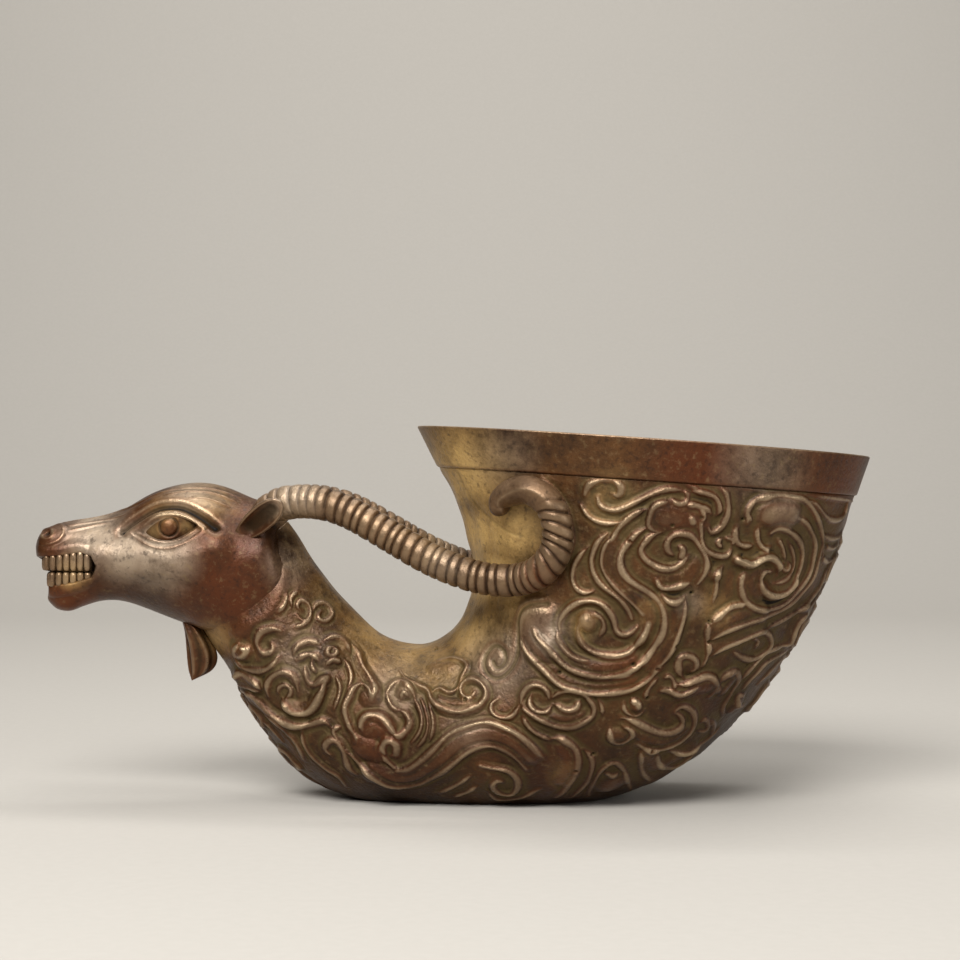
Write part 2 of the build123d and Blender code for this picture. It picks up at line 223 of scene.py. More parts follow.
class Canvas:
    """A grid of points on the left side, on which lines drawn in the side view are laid along the line of
    sight."""
    step = 0.8   # px between the points of a laid line

    def __init__(self, grid, normal):
        self.grid = grid
        self.spots = on_picture(grid)
        self.row_run, self.column_run = np.gradient(grid, axis=0), np.gradient(grid, axis=1)
        self.row_shift, self.column_shift = np.gradient(self.spots, axis=0), np.gradient(self.spots, axis=1)
        seen = (normal * (np.array(camera_spot) - grid)).sum(axis=2) > 0
        self.rows, self.columns = np.nonzero(seen)
        self.shown = self.spots[seen]

    def lay(self, points):
        """Points on the surface under points of the picture, set close along a smooth line through them.
        Points that have three numbers lie on the surface already."""
        points = np.array(points, float)
        if points.shape[1] == 3:
            return points
        if len(points) > 1:
            count = max(3, int(lengths(points)[-1] / self.step))
            points = smooth_rows(points, np.linspace(0, len(points) - 1, count))
        laid = []
        for point in points:
            near = np.argmin(((self.shown - point) ** 2).sum(axis=1))
            i, j = self.rows[near], self.columns[near]
            shift = np.array([self.row_shift[i, j], self.column_shift[i, j]]).T
            offset = np.clip(np.linalg.lstsq(shift, point - self.spots[i, j], rcond=1e-3)[0], -1, 1)
            laid.append(self.grid[i, j] + offset[0] * self.row_run[i, j] + offset[1] * self.column_run[i, j])
        return np.array(laid)


def nearness(points, line, reach):
    """Which points lie within reach of a line, how far from it, and how far along it, from 0 to 1."""
    low, high = line.min(axis=0) - reach, line.max(axis=0) + reach
    close = np.nonzero(((points > low) & (points < high)).all(axis=1))[0]
    gap, share = np.full(len(close), reach), np.zeros(len(close))
    batch = 4000
    for start in range(0, len(close), batch):
        part = close[start:start + batch]
        apart = np.linalg.norm(points[part][:, None] - line[None], axis=2)
        best = apart.argmin(axis=1)
        gap[start:start + batch] = apart[np.arange(len(part)), best]
        share[start:start + batch] = best / max(1, len(line) - 1)
    keep = gap < reach
    return close[keep], gap[keep], share[keep]


# Lines of the ornament, as points on the picture in pixels. Bold lines are cast cords, those of the neck are
# thicker, fine lines are thin ones, rolls are broad rounded bodies under them, and cuts are chased grooves.
bold_lines = [
    # tendrils under the rim
    [(585, 494), (588, 487), (593, 482), (600, 479), (608, 479), (615, 480), (620, 485), (621, 490),
     (618, 495), (613, 494)],
    [(598, 498), (600, 504), (605, 508), (612, 510), (620, 509), (630, 505), (640, 500), (650, 495),
     (660, 491), (670, 489), (680, 490)],
    # first dragon: brow, crest, muzzle and the edge of its neck
    [(687, 483), (692, 485), (698, 489)],
    [(693, 491), (700, 492), (708, 494), (714, 497), (718, 503), (719, 510), (716, 515)],
    [(687, 505), (693, 504), (700, 506), (706, 508), (711, 514)],
    [(719, 486), (724, 490), (727, 500), (727, 512), (724, 522), (718, 530), (711, 532), (708, 527)],
    [(700, 524), (701, 535), (702, 543), (706, 550), (712, 554), (720, 556), (728, 554), (731, 548)],
    [(646, 509), (636, 513), (626, 520), (618, 529), (612, 539)],
    [(646, 528), (638, 533), (630, 541), (624, 550), (621, 560), (623, 570), (630, 579), (640, 586),
     (650, 592), (658, 600), (662, 610), (663, 620), (661, 632), (655, 643), (648, 651), (641, 659)],
    # its spiral
    [(673, 555), (668, 550), (667, 543), (671, 537), (679, 534), (688, 535), (695, 540), (700, 548),
     (705, 556), (707, 564), (704, 574), (697, 584)],
    [(660, 532), (651, 536), (645, 542), (641, 550), (644, 557), (651, 563), (660, 567), (670, 568),
     (679, 564), (685, 558), (688, 554)],
    [(678, 546), (682, 549), (682, 554), (678, 558)],
    [(657, 581), (660, 587), (668, 589), (678, 587), (687, 583)],
    [(660, 590), (664, 597), (671, 601), (679, 600), (685, 595)],
    # second dragon: crest, coil and body
    [(747, 522), (747, 513), (750, 506), (756, 500), (764, 496), (774, 493), (784, 493), (795, 495),
     (804, 500), (811, 508), (817, 519), (821, 532), (822, 545), (822, 556)],
    [(798, 518), (805, 522), (811, 532), (814, 543), (813, 555), (810, 568), (804, 581), (796, 592),
     (785, 602), (772, 608), (760, 609), (750, 605), (743, 599), (740, 590), (740, 580), (744, 571)],
    [(735, 558), (741, 561), (748, 564), (753, 562), (759, 558), (766, 556), (773, 558), (777, 566),
     (776, 574)],
    [(758, 580), (760, 588), (766, 594), (775, 595), (784, 591), (791, 583), (796, 573), (800, 562),
     (801, 550), (798, 541), (792, 534), (784, 530), (776, 529), (770, 533)],
    [(736, 528), (735, 536), (738, 543), (744, 546), (752, 545)],
    [(757, 528), (757, 537), (760, 545), (765, 549), (770, 547)],
    # wings
    [(712, 620), (721, 613), (730, 607), (738, 604), (746, 603)],
    [(708, 640), (722, 632), (740, 625), (757, 619), (772, 613), (786, 606), (797, 597), (806, 586),
     (813, 574), (818, 560), (821, 546)],
    [(709, 656), (722, 648), (735, 642), (748, 636), (758, 632), (766, 632), (770, 638), (770, 645),
     (765, 652), (757, 657), (749, 659), (741, 657), (733, 651)],
    [(784, 643), (775, 648), (766, 652), (758, 659), (752, 665), (745, 673), (740, 679)],
    # paws
    [(676, 682), (683, 682), (690, 679), (697, 676), (704, 674), (710, 675), (714, 679), (716, 684),
     (714, 690), (709, 696)],
    [(718, 683), (722, 677), (729, 672), (735, 670), (738, 675), (737, 681), (733, 689)],
    [(661, 690), (668, 690), (673, 692), (679, 692), (686, 689), (694, 684)],
    [(684, 678), (679, 673), (677, 665), (679, 658), (685, 655), (692, 656), (696, 661), (695, 668),
     (689, 671)],
    # S band under them
    [(621, 717), (632, 719), (642, 724), (652, 729), (662, 732), (671, 731), (678, 727), (682, 721),
     (680, 715), (675, 712)],
    [(675, 711), (679, 707), (686, 707), (692, 711), (694, 718), (692, 727), (686, 735), (678, 741),
     (668, 745), (656, 748), (645, 747), (637, 743)],
    # great coil on the middle of the wall
    [(562, 633), (560, 625), (563, 616), (570, 608), (579, 603), (589, 601), (599, 603), (606, 608),
     (611, 615), (614, 622), (616, 629), (621, 634), (628, 634), (636, 627)],
    [(578, 627), (579, 636), (583, 644), (590, 650), (600, 654), (610, 655), (620, 654), (630, 650),
     (638, 643), (644, 634), (648, 624)],
    [(545, 640), (550, 647), (556, 655), (563, 663), (572, 670), (585, 675), (600, 677), (614, 676),
     (626, 673), (636, 667), (645, 659), (652, 649), (658, 639)],
    [(523, 642), (527, 650), (533, 658), (541, 667), (550, 676), (560, 685), (572, 690), (586, 693),
     (600, 694), (615, 693), (630, 690), (640, 685), (650, 677), (658, 667)],
    [(608, 533), (600, 540), (595, 549), (592, 560), (594, 572), (600, 582), (610, 591), (620, 599),
     (628, 609), (632, 619)],
    # double curl
    [(521, 703), (523, 695), (528, 688), (536, 685), (543, 687), (548, 692), (549, 698)],
    [(553, 697), (558, 693), (566, 691), (575, 691), (584, 694), (590, 700), (594, 708), (592, 716),
     (584, 722), (574, 726), (563, 727), (551, 724), (541, 719), (531, 713), (524, 708)],
    [(556, 705), (562, 708), (570, 709), (577, 706), (580, 700)],
    # dragon's tail along the foot
    [(397, 769), (408, 767), (418, 761), (428, 753), (438, 744), (448, 735), (458, 729), (470, 725),
     (482, 722), (492, 722), (505, 726), (517, 732), (528, 740), (537, 749), (543, 756)],
    [(340, 745), (347, 751), (355, 758), (365, 768), (376, 775), (388, 781), (400, 784), (412, 784),
     (424, 781), (436, 775), (448, 767), (460, 758), (470, 751), (480, 747), (490, 746), (500, 748),
     (510, 753), (518, 760), (526, 769)],
    [(480, 765), (495, 768), (508, 771), (516, 777), (518, 785), (513, 791), (505, 792), (497, 790),
     (493, 785), (496, 780), (502, 780)],
    [(552, 738), (561, 738), (570, 742), (577, 750), (579, 760), (577, 770), (572, 780), (565, 789),
     (556, 796)],
    # scroll under the saddle
    [(400, 671), (405, 678), (413, 683), (421, 687), (428, 691), (431, 698), (434, 704), (441, 709),
     (450, 712), (460, 713), (470, 711), (479, 706), (485, 699), (486, 691), (482, 684), (475, 680),
     (467, 681), (462, 686), (462, 693), (466, 697), (472, 697), (475, 692)],
]
neck_lines = [
    # scrolls of the neck
    [(236, 655), (240, 664), (248, 669), (258, 671), (266, 670), (273, 665), (278, 657)],
    [(239, 643), (236, 649), (239, 656), (246, 656), (248, 650), (244, 647)],
    [(281, 631), (274, 629), (266, 630), (260, 634), (258, 641), (260, 648), (266, 653), (272, 651),
     (272, 644)],
    [(234, 678), (240, 672), (249, 674), (257, 680), (263, 688)],
    [(270, 696), (268, 687), (270, 679), (276, 674), (284, 672), (292, 675), (297, 682), (299, 691)],
    [(283, 698), (287, 705), (293, 711), (301, 714), (310, 713), (317, 706), (321, 697), (324, 688),
     (328, 678)],
    [(240, 690), (248, 691), (256, 696), (263, 703), (271, 711), (280, 718), (290, 724), (300, 726),
     (310, 724), (320, 721), (327, 723), (333, 730)],
    [(268, 713), (276, 718), (285, 727), (294, 737), (301, 748), (304, 758)],
    [(331, 754), (326, 748), (328, 742), (334, 740), (340, 744), (345, 752), (347, 760), (350, 767),
     (357, 773)],
    # small beasts' heads of the neck
    [(294, 655), (297, 648), (304, 643), (312, 642), (319, 645)],
    [(297, 660), (305, 655), (312, 656), (318, 661)],
    [(325, 640), (333, 638), (340, 640), (346, 646), (350, 653)],
    [(305, 668), (307, 677), (312, 684), (320, 682), (328, 677)],
    [(362, 684), (354, 688), (349, 697), (345, 706), (346, 716), (350, 726), (357, 737)],
    [(361, 726), (365, 718), (372, 715), (380, 716), (388, 722), (395, 731), (401, 738)],
    [(387, 693), (393, 685), (400, 682), (407, 684), (412, 690), (415, 698)],
    [(352, 646), (358, 655), (362, 665), (367, 673), (372, 681), (376, 690), (374, 698)],
    [(400, 710), (407, 715), (410, 722), (407, 730), (400, 735), (394, 732)],
    [(386, 752), (384, 746), (388, 741), (394, 741), (398, 746), (397, 752), (392, 755)],
]
fine_lines = [
    # upper wall
    [(581, 505), (587, 514), (595, 520), (605, 523), (615, 523), (624, 520)],
    [(614, 536), (606, 544), (602, 554), (602, 566), (607, 577), (615, 587), (626, 597), (635, 606),
     (642, 614)],
    [(667, 501), (658, 503), (652, 508), (649, 516), (648, 524), (651, 529), (658, 531)],
    [(671, 498), (676, 502), (682, 503), (687, 499), (687, 494), (683, 491)],
    [(699, 508), (703, 514), (702, 520)],
    [(690, 516), (693, 524)],
    [(722, 538), (718, 543), (722, 548)],
    [(725, 538), (732, 540), (732, 546)],
    [(685, 597), (685, 608), (682, 622), (678, 634), (674, 645), (668, 656), (660, 664)],
    [(722, 566), (717, 575), (716, 588), (713, 602)],
    [(740, 487), (755, 489), (770, 491)],
    [(777, 538), (781, 545), (783, 553), (784, 560)],
    [(786, 539), (791, 549), (793, 559), (791, 569), (786, 577), (779, 582), (771, 583)],
    [(759, 583), (760, 576), (765, 571), (772, 572)],
    [(784, 561), (781, 566), (785, 570), (788, 566), (786, 561)],
    [(745, 515), (749, 517), (750, 522)],
    # far end of the wall
    [(800, 495), (815, 495), (830, 497), (845, 499), (852, 501)],
    [(803, 499), (812, 502), (819, 509), (826, 517), (834, 520), (841, 517), (846, 508), (848, 501)],
    [(821, 533), (828, 538), (836, 537), (842, 530)],
    [(824, 546), (830, 548), (838, 542)],
    [(822, 556), (827, 562), (834, 556)],
    [(830, 562), (822, 578), (812, 595), (800, 608), (786, 618), (772, 625), (764, 628)],
    [(826, 582), (818, 594), (806, 609), (796, 620), (790, 632), (786, 642)],
    [(787, 649), (776, 656), (765, 663), (757, 671), (748, 681), (742, 689)],
    [(797, 634), (791, 641), (789, 650), (780, 660), (768, 672), (757, 684)],
    # body and wings
    [(708, 622), (706, 632), (707, 642), (707, 652), (704, 662), (699, 670)],
    [(750, 637), (757, 640), (755, 648)],
    [(664, 677), (670, 676), (673, 681), (672, 688)],
    [(722, 716), (723, 707), (727, 699), (732, 690), (735, 683)],
    [(744, 693), (738, 694), (735, 700), (737, 706), (743, 705)],
    [(697, 730), (703, 730), (707, 725), (705, 719), (699, 722)],
    [(710, 719), (713, 726), (709, 735)],
    [(667, 748), (675, 751), (685, 750), (695, 745), (705, 739), (713, 732), (719, 727)],
    [(640, 748), (640, 758), (641, 767), (645, 775), (651, 780)],
    [(656, 749), (657, 757), (661, 765), (668, 768), (678, 765), (688, 758), (698, 750)],
    [(645, 700), (647, 690), (651, 683), (657, 677)],
    # great coil and foot
    [(595, 612), (602, 619), (604, 627), (600, 635)],
    [(558, 631), (560, 639), (564, 646), (570, 653), (578, 658), (588, 660)],
    [(537, 630), (541, 638), (547, 645), (554, 650)],
    [(590, 546), (580, 556), (574, 567), (573, 579), (577, 588), (585, 593), (594, 591)],
    [(533, 692), (530, 699), (533, 707), (540, 711), (548, 710), (552, 704)],
    [(597, 697), (601, 705), (602, 714)],
    [(520, 703), (517, 710), (512, 716), (505, 718), (497, 716), (492, 711), (492, 704), (498, 699)],
    [(523, 716), (530, 728), (540, 735), (551, 739)],
    [(582, 748), (588, 753), (592, 761), (591, 772), (587, 782), (580, 790), (570, 797)],
    [(589, 796), (590, 789), (594, 781), (599, 772), (606, 765), (614, 762), (620, 765), (625, 772),
     (628, 781), (631, 791)],
    [(605, 771), (611, 774), (618, 770)],
    [(610, 727), (609, 735), (612, 741), (619, 743), (626, 740), (631, 734), (630, 728), (624, 726)],
    [(624, 702), (625, 710), (630, 714), (637, 715), (643, 711)],
    [(630, 702), (636, 700), (640, 706)],
    [(488, 790), (494, 797), (504, 799), (516, 797), (528, 793), (540, 788)],
    [(440, 792), (450, 788), (460, 782), (470, 775)],
    [(455, 796), (466, 792), (476, 786)],
    [(431, 695), (436, 690), (441, 689), (447, 692), (453, 692), (458, 688), (461, 680), (465, 672),
     (467, 665), (463, 661), (455, 659), (446, 659), (439, 661)],
    # beside the curl of the horn
    [(541, 478), (551, 487), (560, 499), (567, 513), (571, 528), (572, 543), (567, 558), (557, 572)],
    # neck
    [(235, 679), (243, 684), (252, 688), (262, 690)],
    [(279, 693), (280, 687), (286, 685), (291, 688), (291, 694), (287, 697)],
    [(244, 695), (252, 703), (258, 711), (264, 719), (274, 730), (284, 742)],
    [(304, 727), (303, 735), (306, 745), (312, 754), (320, 762), (330, 770), (340, 777), (346, 786)],
    [(313, 656), (312, 665), (316, 673)],
    [(333, 648), (327, 652), (330, 657), (336, 654), (334, 649)],
    [(326, 665), (333, 661), (341, 663)],
    [(345, 660), (350, 670), (351, 680), (347, 690)],
    [(336, 677), (340, 686), (339, 697), (335, 708)],
    [(362, 683), (369, 690), (373, 698)],
    [(387, 694), (389, 701), (394, 708), (400, 711)],
    [(401, 700), (405, 695), (410, 698)],
    [(415, 700), (420, 710), (422, 722), (419, 733), (412, 742)],
    [(421, 699), (426, 712), (428, 724), (425, 737), (418, 746)],
    [(428, 701), (432, 714), (433, 728), (430, 741)],
    [(384, 755), (390, 763), (398, 768)],
    [(297, 615), (304, 621), (309, 618), (310, 610), (306, 603), (300, 601), (297, 606), (301, 611)],
    [(313, 612), (315, 606), (322, 603), (329, 607), (332, 614), (328, 620), (322, 621), (318, 616),
     (321, 611)],
    [(287, 594), (285, 604), (279, 612)],
    [(297, 592), (291, 598), (292, 607)],
    [(295, 627), (304, 624), (311, 617)],
    [(340, 727), (334, 730), (337, 738), (344, 744)],
]
rolls = [
    # half width and height in mm, then the middle line
    (2.6, 0.60, [(663, 514), (678, 517), (694, 520)]),
    (1.9, 0.50, [(673, 606), (673, 620), (670, 634), (663, 648), (654, 661)]),
    (1.7, 0.45, [(613, 545), (613, 560), (619, 576), (632, 591), (645, 604), (649, 620), (644, 635)]),
    (2.5, 0.90, [(770, 511), (778, 511), (787, 512)]),
    (1.0, 0.60, [(737, 560), (750, 563), (766, 557), (775, 565)]),
    (1.2, 0.50, [(761, 585), (768, 592), (780, 591), (790, 582)]),
    (1.7, 0.35, [(755, 594), (748, 582), (756, 572)]),
    (1.7, 0.45, [(714, 629), (728, 621), (745, 613), (758, 611)]),
    (1.2, 0.35, [(712, 647), (728, 640), (745, 632), (760, 626)]),
    (1.8, 0.60, [(680, 690), (695, 684), (708, 682)]),
    (1.3, 0.50, [(722, 688), (730, 678)]),
    (3.3, 0.75, [(536, 617), (536, 632), (543, 645)]),
    (1.6, 0.45, [(548, 634), (557, 650), (570, 662), (590, 668), (612, 667), (632, 660)]),
    (1.4, 0.35, [(540, 657), (556, 675), (580, 686), (605, 687), (630, 682)]),
    (1.7, 0.80, [(588, 621)]),
    (1.9, 0.55, [(372, 772), (392, 777), (412, 774), (432, 764), (450, 752), (470, 738), (490, 733),
                 (510, 738), (530, 754)]),
    (1.3, 0.35, [(527, 708), (541, 715), (560, 718), (580, 715)]),
    (1.5, 0.40, [(565, 746), (570, 760), (563, 780)]),
    (1.4, 0.40, [(630, 726), (650, 738), (668, 739), (683, 730)]),
    (1.2, 0.50, [(241, 678), (250, 681), (258, 686)]),
    (1.1, 0.35, [(252, 697), (268, 712), (285, 722), (302, 722)]),
    (1.2, 0.50, [(288, 705), (300, 710), (312, 705), (320, 692), (324, 682)]),
    (1.1, 0.60, [(242, 650)]),
    (2.2, 0.65, [(370, 725), (382, 728), (392, 738)]),
    (2.2, 0.40, [(364, 746), (378, 750)]),
    (1.8, 0.50, [(371, 696)]),
    (1.4, 0.50, [(405, 691)]),
    (1.9, 0.45, [(322, 652), (332, 656)]),
    (1.1, 0.35, [(440, 702), (455, 706), (470, 704)]),
    (1.0, 0.50, [(713, 575), (716, 574)]),
    (1.6, 0.25, [(437, 668), (450, 668)]),
    (1.5, 0.45, [(648, 752), (655, 764), (668, 760), (690, 748)]),
    (2.2, 0.50, [(608, 785), (616, 780)]),
    (1.2, 0.45, [(730, 708), (738, 699)]),
    (1.5, 0.50, [(802, 610), (794, 625), (787, 640)]),
    (1.9, 0.40, [(662, 577), (680, 578), (697, 566)]),
    (1.1, 0.55, [(636, 706)]),
    (1.2, 0.45, [(613, 735), (622, 735)]),
    (1.4, 0.45, [(687, 664)]),
    (1.3, 0.22, [(284, 574), (281, 590), (276, 602), (268, 612), (258, 621), (247, 628), (236, 633)]),
]
cuts = [
    # width and depth in mm, then the line
    (0.9, 0.50, [(548, 604), (538, 604), (530, 606), (523, 612), (519, 620), (518, 634), (518, 648),
                 (515, 660), (509, 670), (500, 677), (491, 676), (485, 669), (484, 660), (488, 651),
                 (495, 646), (502, 649), (505, 656), (503, 664), (497, 667), (493, 662)]),
    (0.7, 0.14, [(455, 466), (466, 488), (480, 509), (495, 523), (512, 533), (522, 536)]),
]
pits = [
    (672, 525), (701, 517), (743, 519), (741, 556), (692, 593), (709, 621), (676, 645), (647, 698),
    (633, 663), (657, 668), (593, 754), (576, 768), (630, 541), (708, 641), (650, 748), (560, 672),
    (436, 648), (466, 700),
]


def carve(points, canvas, groups, bodies, grooves, holes, hole_size=(0.75, 0.5), body_size=(1.4, 1.85),
          body_edge=1.3):
    """Heights in mm over a plain surface, at its points: first of rounded bodies, then of what lies on
    them, cast lines with hollow flanks, chased grooves and casting pits. Each group is lines with their
    width and height. Body sizes are times the listed ones, and a higher edge number blends a body more
    softly."""
    body, flank, ridge, dip, hole = (np.zeros(len(points)) for _ in range(5))
    for half, rise, line in bodies:
        reach = body_size[0] * half
        at, gap, _ = nearness(points, canvas.lay(line), reach)
        dome = np.clip(1 - (gap / reach) ** 2, 0, 1) ** body_edge
        body[at] = np.maximum(body[at], body_size[1] * rise * dome)
    for lines, width, rise in groups:
        for line in lines:
            laid = canvas.lay(line)
            at, gap, share = nearness(points, laid, 2.6 * width)
            # A line swells and thins along its length, and both its ends run out low and thin.
            swing = 1 + 0.22 * np.sin(0.9 * share * lengths(laid)[-1] + line[0][0])
            ends = 0.5 + 0.5 * np.clip(6 * np.minimum(share, 1 - share), 0, 1)
            for heights, form in (
                (ridge, np.exp(-((2 * gap / (width * ends * swing)) ** 1.9))),
                (flank, 0.5 * np.exp(-((gap / (1.2 * width)) ** 2))),
                (dip, 0.3 * np.exp(-(((gap / width - 1.05) / 0.3) ** 2))),
            ):
                heights[at] = np.maximum(heights[at], rise * ends * form)
    for width, depth, line in grooves:
        at, gap, _ = nearness(points, canvas.lay(line), 1.6 * width)
        dip[at] = np.maximum(dip[at], depth * np.exp(-((1.7 * gap / width) ** 2)))
    hole_width, hole_depth = hole_size
    for spot in holes:
        at, gap, _ = nearness(points, canvas.lay([spot]), hole_width)
        hole[at] = np.maximum(hole[at], hole_depth * np.exp(-((2.2 * gap / hole_width) ** 4)))
    return body, ridge + flank - dip * np.clip(1 - ridge / 0.25, 0, 1) - hole


def rubbed(height, cells, full):
    """How rubbed (above 0) or how sunk (below 0) each point of a grid is: its height over the mean of the
    cells round it, as a share of the height at which a crest is rubbed bright, its pale colour partly a
    painted highlight."""
    mean = height
    share = np.ones(2 * cells + 1) / (2 * cells + 1)
    for axis in (0, 1):
        padding = [(cells, cells) if axis == side else (0, 0) for side in (0, 1)]
        mean = np.apply_along_axis(np.convolve, axis, np.pad(mean, padding, mode="edge"), share, "valid")
    return np.clip((height - mean) / full, -2, 1)


# Turns are close over the carved sides and wider over the plain saddle.
plain_share, plain_turns, carved_turns = 0.20, 24, 336
half_turns = math.pi * np.concatenate([
    np.linspace(0, plain_share, plain_turns, endpoint=False), np.linspace(plain_share, 1, carved_turns + 1)])
lip_start, lip_end = (np.array([edge[-1][0], 0, edge[-1][1]]) for edge in (saddle_edge, belly_edge))
lip_normal = np.array([lip_start[2] - lip_end[2], 0, lip_end[0] - lip_start[0]])
lip_normal /= np.linalg.norm(lip_normal)


def step_below_lip(turns, depth):
    """Step at which the wall lies a given depth under the plane of the lip, at each turn."""
    steps = np.linspace(lip_step - 2, lip_step, 60)
    under = (lip_start - wall_points(steps[:, None], turns[None])) @ lip_normal
    return np.array([np.interp(-depth, -column, steps) for column in under.T])


def spread_evenly(line, values, count):
    """Values that go with the points of a line, read again at places spread evenly along it, a row for
    each."""
    run = lengths(line)
    places = np.linspace(0, run[-1], count)
    return np.stack([np.interp(places, run, column) for column in np.transpose(values)], axis=1)


neck_start, wall_rows = 0.3, 540
seat = step_below_lip(half_turns, band_height)
climb = np.linspace(0, 1, wall_rows)[:, None]
base = wall_points(neck_start + climb * (seat - neck_start), half_turns[None])
climb = spread_evenly(base[:, len(half_turns) // 2], climb, wall_rows)
base = wall_points(neck_start + climb * (seat - neck_start), half_turns[None])
normal = outward(base)

# Stems with pairs of scrolls climb the far end and the throat, out of the side view. They are drawn in the
# end views, as places across and up in mm, each scroll and leaf from its foot on the stem.
scroll = [(-0.2, 0), (-1.4, 5), (-3.6, 8.4), (-6.0, 8.6), (-7.2, 6.4), (-6.2, 4.3), (-4.4, 4.6), (-4.1, 6.2)]
leaf = [(-0.2, 6), (-1.6, 10), (-3.8, 12)]
for end_wall, feet, stem_top, size in (
    (base[base[:, :, 0] > 35], (13, 25, 37), 53, 1.0),
    (base[(base[:, :, 0] < -15) & (half_turns > 0.7 * math.pi)], (3, 11), 21, 0.75),
):
    end_lines = [[(0, feet[0] - 2), (0, (feet[0] + stem_top) / 2), (0, stem_top)]]
    end_lines += [[(size * y, foot + size * z) for y, z in line] for foot in feet for line in (scroll, leaf)]
    for line in end_lines:
        spots = smooth_rows(line, np.linspace(0, len(line) - 1, 90))[::6]
        laid = end_wall[[((end_wall[:, 1:] - spot) ** 2).sum(axis=1).argmin() for spot in spots]]
        bold_lines.append(smooth_rows(laid, np.linspace(0, len(laid) - 1, 120)))
groups = ((bold_lines, 0.98, 0.50), (neck_lines, 1.25, 0.50), (fine_lines, 0.76, 0.36))   # mm wide, mm high
heights = carve(base.reshape(-1, 3), Canvas(base, normal), groups, rolls, cuts, pits)
body, lines = (h.reshape(base.shape[:2]) for h in heights)

# The ground between the ornament was smoothed by hand in the wax, and is a little uneven. All relief runs out
# at the flat rest and under the band.
ground_lengths, ground_height = (5.0, 6.0, 7.5, 9.0, 11.0), 0.06   # mm
height = body + lines
waves = np.random.default_rng(3)
for length in ground_lengths:
    way = waves.normal(size=3)
    along = base @ (way / np.linalg.norm(way))
    height = height + ground_height * np.sin(along * 2 * math.pi / length + waves.uniform(0, 6))
off_rest = np.clip((base[:, :, 2] - 0.3) / 1.2, 0, 1)
off_band = np.clip((1 - climb) * 90, 0, 1)
carved = base + normal * (height * off_rest * off_band)[:, :, None]
carved[:, :, 2] = np.maximum(carved[:, :, 2], 0)
wear = rubbed((0.35 * body + lines) * off_rest * off_band, 6, 0.24)
wear = wear + 0.35 * np.clip(body / 0.9, 0, 1) * off_rest


def both_sides(left):
    """A full ring of each row from its left half, whose first and last columns lie in the middle plane."""
    right = left[:, -2:0:-1].copy()
    if left.ndim == 3:
        right[:, :, 1] *= -1
    return np.concatenate([left, right], axis=1)


def closed_tube(rings):
    """Points and faces of a tube of rings, each end closed by a fan from the middle of its ring. The two
    middles are the last points."""
    rows, columns = rings.shape[:2]
    count = rows * columns
    points = np.concatenate([rings.reshape(-1, 3), [rings[0].mean(axis=0), rings[-1].mean(axis=0)]])
    faces = strip_faces(rows, columns, closed=True)
    for j in range(columns):
        after = (j + 1) % columns
        faces += [(count, after, j), (count + 1, count - columns + j, count - columns + after)]
    return points, faces


# Inside the band the lip steps in by the rebate and rounds over into the hollow, which narrows as it bends
# into the neck and is rounded at its blind end and along its floor.
rebate, blind_step, fillet = 0.8, 3, 0.7
neck_inset, end_inset = 7.0, 4.0
turns = np.concatenate([half_turns, 2 * math.pi - half_turns[-2:0:-1]])
lip_rows = [wall_points(step_below_lip(turns, band_height), turns, -rebate)]
lip_rows += [wall_points(float(lip_step), turns, -inset) for inset in (rebate, 1.2, 1.8, wall - 0.25)]
lip_rows[-1] = lip_rows[-1] - 0.05 * lip_normal
inner_steps = np.concatenate([
    np.linspace(lip_step - 0.03, blind_step + 0.5, 40),
    blind_step + 0.5 * np.cos(np.linspace(0, math.pi / 2, 16)[1:])])
closing = np.clip((blind_step + 2 - inner_steps) / 2, 0, 1)
insets = wall + (neck_inset - wall) * closing + end_inset * (1 - np.sqrt(1 - closing**8))
inner = wall_points(inner_steps[:, None], turns[None], -insets[:, None])
inner[:, :, 2] = floor_thickness + fillet * np.logaddexp(0, (inner[:, :, 2] - floor_thickness) / fillet)
points, faces = closed_tube(np.concatenate([both_sides(carved), np.array(lip_rows), inner]))
outside = carved.shape[0] * len(turns)
cup_wear = np.zeros(len(points))
cup_wear[:outside] = both_sides(wear).ravel()
cup_shares = np.ones((len(points), 4))
cup_shares[outside:, 0] = 0.4

# Where the colour changes, in the side view: x, z, radius in mm and strength. Ochre lies where water and
# hands have been least, and red-brown on the handled swellings. The grey spots are painted sheen, a painted
# highlight on the cheekbone, muzzle, brow and raised parts of the wall and neck.
# The dark spots are partly painted shade, under the belly, throat and jaw, on the rear cheek and under the
# ear, and partly darker patina on the wall.
ochre_spots = [
    (0.0, 60.0, 9, 1.0), (3.0, 50.0, 7, 1.0), (10.5, 50.5, 6, 1.0), (7.0, 41.0, 8, 0.9),
    (4.0, 33.0, 7, 0.7), (-6.0, 29.0, 8, 0.5), (-14.0, 32.0, 7, 0.45), (-21.0, 39.0, 6, 0.35),
    (-27.0, 47.0, 6, 0.3), (-29.0, 52.0, 4, 0.4), (-52.0, 53.5, 5, 0.3), (-45.5, 56.0, 6, 0.4),
    (-44.0, 30.0, 4, 0.4), (24.0, 33.5, 2.5, 0.7), (-1.0, 25.0, 7, 0.4), (20.0, 7.0, 4, 0.25),
    (35.0, 37.0, 4, 0.25), (46.0, 37.0, 5, 0.25), (28.0, 56.0, 6, 0.3), (-70.0, 42.8, 3.2, 0.75),
    (-54.3, 50.2, 1.8, 0.45), (-48.3, 51.0, 1.8, 0.45),
]
